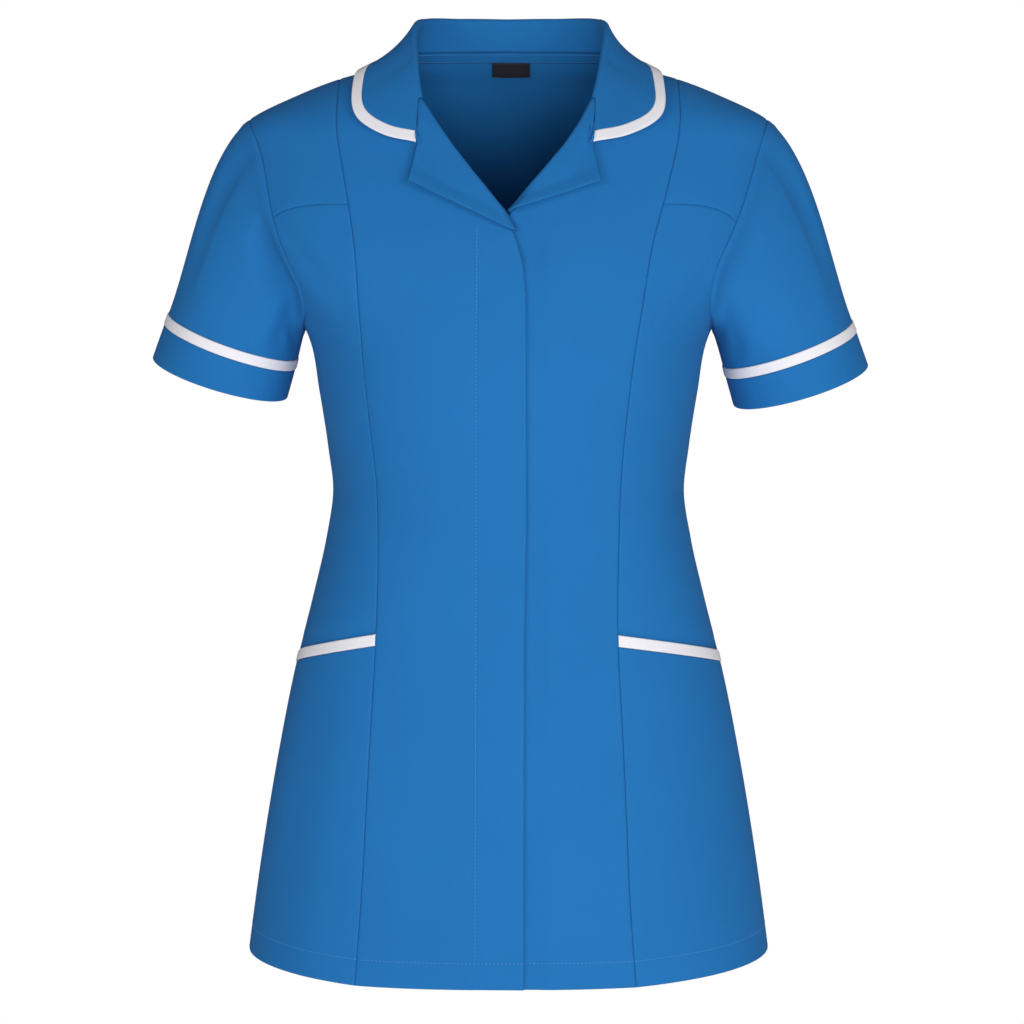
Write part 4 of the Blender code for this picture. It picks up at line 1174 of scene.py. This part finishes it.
def sheet_normal(places):
    """Cross product of the ways down and across the grid."""
    return unit(np.cross(np.gradient(places, axis=0), np.gradient(places, axis=1)))


print("a rolled edge stands", ON_PANEL * 1000, "mm from the form")

# %% The two revers
NEARER_COLLAR = {"right": 0.0, "left": 0.0030}
UNDER_COLLAR = 0.0025
MIDDLE_PUFF = 0.0007
TIP_PUFF = 0.0030
COLLAR_DIP = 0.0016
CORNER_RISE = 0.0022
for side in ("right", "left"):
    notch, tip, low = [np.array([SIGN[side] * x, z]) for x, z in REVERS[side]]
    notch[0] += NEARER_COLLAR[side]
    heights = np.linspace(LAP[side][0][0], low[1], 37)
    line = np.stack([along(LAP[side], heights) * SIGN[side], heights], axis=-1)
    outer = notch + (tip - notch) * np.linspace(0, 1, 37)[:, None] ** 0.9
    turn_line = turn_of(line[:, 0], heights)
    place = form(turn_line, heights)
    normal = form_normal(turn_line, heights)
    away = unit(np.cross(normal, unit(np.gradient(place, axis=0))))
    away = away * np.sign(np.sum(away * np.array([-1.0, 0, 0.5]), axis=1, keepdims=True))
    if side == "left":
        place = place - normal * lap_depth(line[:, 0], heights)[:, None]
    section = turned_edge(place, normal, away)
    for share in np.linspace(0, 1, 19)[1:]:
        point = line + (outer - line) * share
        turn = turn_of(point[:, 0], point[:, 1])
        over = form_normal(turn, point[:, 1])
        puff = MIDDLE_PUFF * math.sin(math.pi * min(share * 1.6, 1.0)) + TIP_PUFF * share ** 3
        section.append(form(turn, point[:, 1]) + over * (ON_PANEL + puff))
    dense = np.stack(section, axis=1)
    # the real cloth goes on under the collar, so a row is added above the first one
    dense = np.concatenate([dense[:1] + unit(dense[:1] - dense[1:2]) * UNDER_COLLAR, dense])
    normal = sheet_normal(dense)
    normal = normal * np.sign(np.sum(normal[1:, -1] * over))
    surface, normal, far = fine_surface(
        dense, normal, (EDGE_STEPS, EDGE_STEPS, 34), ((0.0,), EDGE_STEPS, 34))
    lift = FOLDED_LIFT - turned_in(far, last=ROLLED, bottom=ROLLED)
    # it dips under the collar, and its lower corner rises from the front
    lift = lift - COLLAR_DIP * (1 - smooth(far["top"] / 0.0030))
    corner = (1 - smooth(far["bottom"] / 0.018)) * smooth(far["first"] / 0.020)
    lift = lift + CORNER_RISE * corner
    sew("revers", side, surface, normal, lift, CLOTH, FOLDED_WALL)
print("revers section of", dense.shape[1], "points")

# %% [markdown]
# The collar and its white binding
#
# The collar stands up from the neck seam, rolls over, and falls outwards to a bound edge. Its
# section changes all the way round: tall and close at the back of the neck, wide and flat in front.
# Every section is a short stand, a half circle and a curved fall, and the falls are pushed out
# where they would touch the shoulder. The binding is cut from the same surface, so it fits.

# %% Keeping clear of the shoulder
def over_form(place):
    """(|x / half width| ^ power + |y / depth| ^ power) ^ (1 / power) - 1."""
    ring = through(LEVELS, np.minimum(place[..., 2], 0.004))
    depth = np.where(place[..., 1] < SIDE_Y, ring[..., 1], ring[..., 2])
    power = ring[..., 3]
    size = np.abs(place[..., 0] / ring[..., 0]) ** power
    size = size + np.abs((place[..., 1] - SIDE_Y) / depth) ** power
    return size ** (1 / power) - 1


def outside(points, lift, exactly=False):
    """Points moved along the slope of the ring's equation until they stand the lift above it."""
    moved = points.copy()
    step = 0.0002
    for _ in range(6):
        slope = [(over_form(moved + way) - over_form(moved - way)) / (2 * step)
                 for way in np.eye(3) * step]
        slope = np.stack(slope, axis=-1)
        size = np.linalg.norm(slope, axis=-1)
        short = lift - over_form(moved) / size
        if not exactly:
            short = np.clip(short, 0, None)
        short[points[..., 2] > 0.002] = 0
        moved = moved + slope / size[..., None] * short[..., None]
    return moved


pushed = outside(form(np.array([0.9]), np.array([-0.05])), ON_PANEL)
print("a point pushed off the shoulder:", (pushed[0] * 1000).round(1).tolist(), "mm")

# %% Sections of the collar
BACK_RADIUS = 0.0023
FALL_EDGE_RISE = 0.0013
FALL_BEND_RISE = 0.0012
LEAST_STAND = 0.0012
FOOT = 0.0004


def collar_sections(side):
    """Stand, half circle and fall at each place, from the centre back to one gorge."""
    place = np.concatenate([np.linspace(0, 0.34, 24)[:-1], np.linspace(0.34, 0.52, 24)[:-1],
                            np.linspace(0.52, 1.0, 44)])
    row = collar_rows(side, place)
    foot = form(row[:, 0], row[:, 1])
    normal = form_normal(row[:, 0], row[:, 1])
    edge = outside(row[:, 5:8], ON_PANEL + FALL_EDGE_RISE, exactly=True)
    upward = unit(row[:, 2:5] - foot)
    outward = unit(normal - upward * np.sum(upward * normal, axis=1, keepdims=True))
    height = np.linalg.norm(row[:, 2:5] - foot, axis=1, keepdims=True)
    radius = BACK_RADIUS + (TURN_RADIUS - BACK_RADIUS) * place[:, None] ** 2
    height = np.maximum(height, LEAST_STAND + radius)
    inside = outward * (ON_PANEL - 2 * radius)
    centre = foot + upward * (height - radius) + outward * (ON_PANEL - radius)
    start = foot - upward * FOOT + inside
    top = foot + upward * (height - radius) + inside
    rows = [start + (top - start) * share for share in (0.0, 0.2, 0.4, 0.6, 0.8)]
    for angle in TURNS:
        rows.append(centre + radius * (upward * np.cos(angle) + outward * np.sin(angle)))
    fall = rows[-1]
    bend = foot + outward * (ON_PANEL + FALL_BEND_RISE) + upward * 0.002
    for t in np.linspace(0, 1, 25)[1:]:
        point = (1 - t) ** 2 * fall + 2 * t * (1 - t) * bend + t * t * edge
        rows.append(outside(point, ON_PANEL))
    return np.stack(rows, axis=1)


print("the collar turns over", BACK_RADIUS * 2000, "mm thick at the back")

# %% Collar cloth and binding
COLLAR_TRIM_STEPS = (0.0, 0.0003, 0.0007, 0.0012, 0.0020, 0.0034, 0.0047, 0.0060, 0.0074, 0.0082,
                     0.0087, 0.0091, COLLAR_TRIM_WIDTH)
COLLAR_ENDS = (0.0006, 0.0012)
COLLAR_TRIM_EDGE = (0.0009, 0.0012)
COLLAR_TRIM_ENDS = (0.0006, 0.0010)
COLLAR_TRIM_LIFT = 0.0014
COLLAR_TRIM_WALL = 0.0020
other = collar_sections("right")[::-1][:-1] * np.array([-1.0, 1.0, 1.0])
sections = np.concatenate([other, collar_sections("left")]).swapaxes(0, 1)
direction = sheet_normal(sections)
direction = direction * np.sign(direction[-1, sections.shape[1] // 2, 1])
near_trim = [COLLAR_TRIM_WIDTH + step for step in (0.0, 0.0003, 0.0007, 0.0013, 0.0022)]
columns = (EDGE_STEPS, EDGE_STEPS, 170)
surface, normal, far = fine_surface(sections, direction, ((0.0,), near_trim, 44), columns)
lift = FOLDED_LIFT - tucked(far["bottom"] - COLLAR_TRIM_WIDTH, UNDER_BINDING)
lift = lift - turned_in(far, first=COLLAR_ENDS, last=COLLAR_ENDS)
sew("collar", "middle", surface, normal, lift, CLOTH, FOLDED_WALL)

surface, normal, far = fine_surface(
    sections[::-1], direction[::-1], (COLLAR_TRIM_STEPS, (), 0), columns)
lift = COLLAR_TRIM_LIFT - tucked(COLLAR_TRIM_WIDTH - far["top"], BINDING)
lift = lift - turned_in(
    far, top=COLLAR_TRIM_EDGE, first=COLLAR_TRIM_ENDS, last=COLLAR_TRIM_ENDS)
sew("collar_trim", "middle", surface, normal, lift, TRIM, COLLAR_TRIM_WALL)
print("collar grid", sections.shape[:2])

# %% [markdown]
# The neck tape and the label
#
# Inside the back neck, a narrow tape hides the seam, sewn down by two rows of stitches, and a small
# black label hangs under it. The label is left plain: it is a strip of satin with a soft bow.

# %% Neck tape
BELOW_NECK_SEAM = 0.0012
TAPE_LIFT = 0.0015
TAPE_WALL = 0.0008
turn_line = np.linspace(1.16, 2.84, 121)
neck_seam = through(np.array(COLLAR)[:4, 1:3], 2 - np.abs(turn_line - 2))[..., 0]
share = np.linspace(0, 1, 9)[:, None]
height = neck_seam - BELOW_NECK_SEAM - TAPE_WIDTH * share
turn = np.broadcast_to(turn_line, height.shape)
inward = -form_normal(turn, height)
lift = TAPE_LIFT - 0.0005 * np.abs(2 * share - 1) ** 4
places, inward = sew("neck_tape", "middle", form(turn, height), inward, lift, CLOTH, TAPE_WALL)
tape_paths = []
for row in (1, 7):
    above = inward[row, ::-1]
    tape_paths.append((places[row, ::-1] + above * 0.00005, above))
print("neck tape", round(TAPE_WIDTH * 1000, 1), "mm wide")

# %% Label
LABEL_TOP = -0.0090
LABEL_SIDEWAYS = 0.002
LABEL_LIFT = 0.0016
LABEL_BOW = 0.0008
LABEL_WALL = 0.0005
across = np.linspace(-LABEL_WIDTH / 2, LABEL_WIDTH / 2, 41)
share = np.linspace(0, 1, 21)[:, None]
height = LABEL_TOP - (LABEL_HEIGHT + 0.0006) * share + 0 * across
turn = turn_of(across + LABEL_SIDEWAYS, height, behind=True)
bow = 1 - (2 * across / LABEL_WIDTH) ** 2
lift = LABEL_LIFT + share * (LABEL_BOW * bow + 0.0004)
sew("label", "middle", form(turn, height), -form_normal(turn, height), lift, SATIN, LABEL_WALL)
print("label at height", round(float(height.mean()) * 1000, 1), "mm")

# %% [markdown]
# Sewing
#
# Three kinds of sewing show on the real tunic: the hem, two centimetres above the edge all the way
# round, the long line that holds the hidden fastening, and the two lines on the neck tape. Other
# seams are plain, and show only as grooves.

# %% All visible stitches
for name in ("front_right", "pocket_right", "front_left", "pocket_left", "back"):
    stitches(f"hem_stitches_{name}", *hem_paths[name])
placket = stitches("placket_stitches", *placket_path)
tape_rows = [stitches(f"tape_stitches_{number + 1}", *path, pitch=0.0026)
             for number, path in enumerate(tape_paths)]

# %% [markdown]
# The cut of each piece
#
# Each shell is a sheet of cloth that was flat once. Its width, length and area are printed, so the
# garment could be laid out and cut again.

# %% Printing the sheets' cuts
TURNED_UNDER = 0.003
cloth("back")
for side in ("right", "left"):
    front = f"front_centre_{side}"
    cloth(front)
    cloth(f"side_front_upper_{side}")
    cloth(f"side_front_{side}")
    cloth(f"pocket_{side}")
    cloth(f"pocket_trim_{side}", turning=TURNED_UNDER)
    cloth(f"sleeve_{side}")
    cloth(f"sleeve_trim_{side}", turning=TURNED_UNDER)
    cloth(f"cuff_{side}")
    cloth(f"revers_{side}")
cloth("collar")
cloth("collar_trim", turning=TURNED_UNDER)
cloth("neck_tape", turning=TURNED_UNDER)
cloth("label")

# %% [markdown]
# Studio
#
# The tunic floats before a white wall of light, as clothes are photographed. A softbox stands in
# front at the height of the hips, so its light goes in through the V and shows the inside of the
# back. Two wider ones stand higher at the sides, the right one stronger, and lay soft shadows under
# the collar and the revers. The pale floor lies almost a body's height below, unseen.

# %% Floor, light and world
FLOOR_HEIGHT = -1.45
FLOOR_RADIUS = 2.2


def soft_light(name, place, aim, size, power):
    """A square area light that faces its aim."""
    data = bpy.data.lights.new(name, "AREA")
    data.shape = "SQUARE"
    data.size = size
    data.energy = power
    data.color = (1.0, 0.995, 0.99)
    x, y, z = np.array(aim) - np.array(place)
    turn = (math.atan2(math.hypot(x, y), -z), 0.0, math.atan2(y, x) - math.pi / 2)
    placed(name, data, place, turn)


soft_light("right_softbox", (1.75, -2.05, 0.25), (0.0, -0.1, -0.35), 1.1, 26.0)
soft_light("left_softbox", (-1.75, -2.05, 0.25), (0.0, -0.1, -0.35), 1.1, 20.0)
soft_light("front_softbox", (0.14, -2.45, -0.60), (0.0, -0.1, -0.30), 0.9, 26.5)

angle = np.linspace(0, 2 * np.pi, 97)[:-1]
rim = np.stack([FLOOR_RADIUS * np.cos(angle), FLOOR_RADIUS * np.sin(angle),
                np.full(96, FLOOR_HEIGHT)], axis=-1)
floor_mesh = bpy.data.meshes.new("floor")
floor_mesh.from_pydata(rim.tolist(), [], [list(range(96))])
floor = placed("floor", floor_mesh)
floor_paint = bpy.data.materials.new("floor_paint")
floor_paint.use_nodes = True
floor_shader = floor_paint.node_tree.nodes["Principled BSDF"]
floor_shader.inputs["Base Color"].default_value = (0.86, 0.86, 0.87, 1.0)
floor_shader.inputs["Roughness"].default_value = 0.9
floor_mesh.materials.append(floor_paint)

world = bpy.data.worlds.new("studio")
bpy.context.scene.world = world
world.use_nodes = True
tree = world.node_tree
backdrop = tree.nodes["Background"]
backdrop.inputs["Color"].default_value = (1.0, 1.0, 1.0, 1.0)
backdrop.inputs["Strength"].default_value = 1.0
dim = tree.nodes.new("ShaderNodeBackground")
dim.inputs["Color"].default_value = (0.98, 0.99, 1.0, 1.0)
dim.inputs["Strength"].default_value = 0.20
path = tree.nodes.new("ShaderNodeLightPath")
mix = tree.nodes.new("ShaderNodeMixShader")
sources = (path.outputs["Is Camera Ray"], dim.outputs["Background"], backdrop.outputs["Background"])
for output, socket in zip(sources, mix.inputs):
    tree.links.new(output, socket)
tree.links.new(mix.outputs["Shader"], tree.nodes["World Output"].inputs["Surface"])
bpy.context.scene.view_settings.view_transform = "Standard"

# %% [markdown]
# Camera
#
# The camera stands two and a half metres in front of the chest and looks down by a few degrees,
# with a long lens, so the garment is seen almost without perspective.

# %% The camera
CAMERA_PLACE = (0.0027, -2.6587, -0.157)
LOOKING_DOWN = 4.5
LENS = 117.18
camera_data = bpy.data.cameras.new("camera")
camera_data.sensor_width = 36.0
camera_data.lens = LENS
camera_data.clip_end = 30.0
tilt = math.radians(90.0 - LOOKING_DOWN)
camera = placed("camera", camera_data, CAMERA_PLACE, (tilt, 0.0, 0.0))
bpy.context.scene.camera = camera
print("camera at", [round(value, 4) for value in camera.location])

# %% The end
bpy.context.view_layer.update()
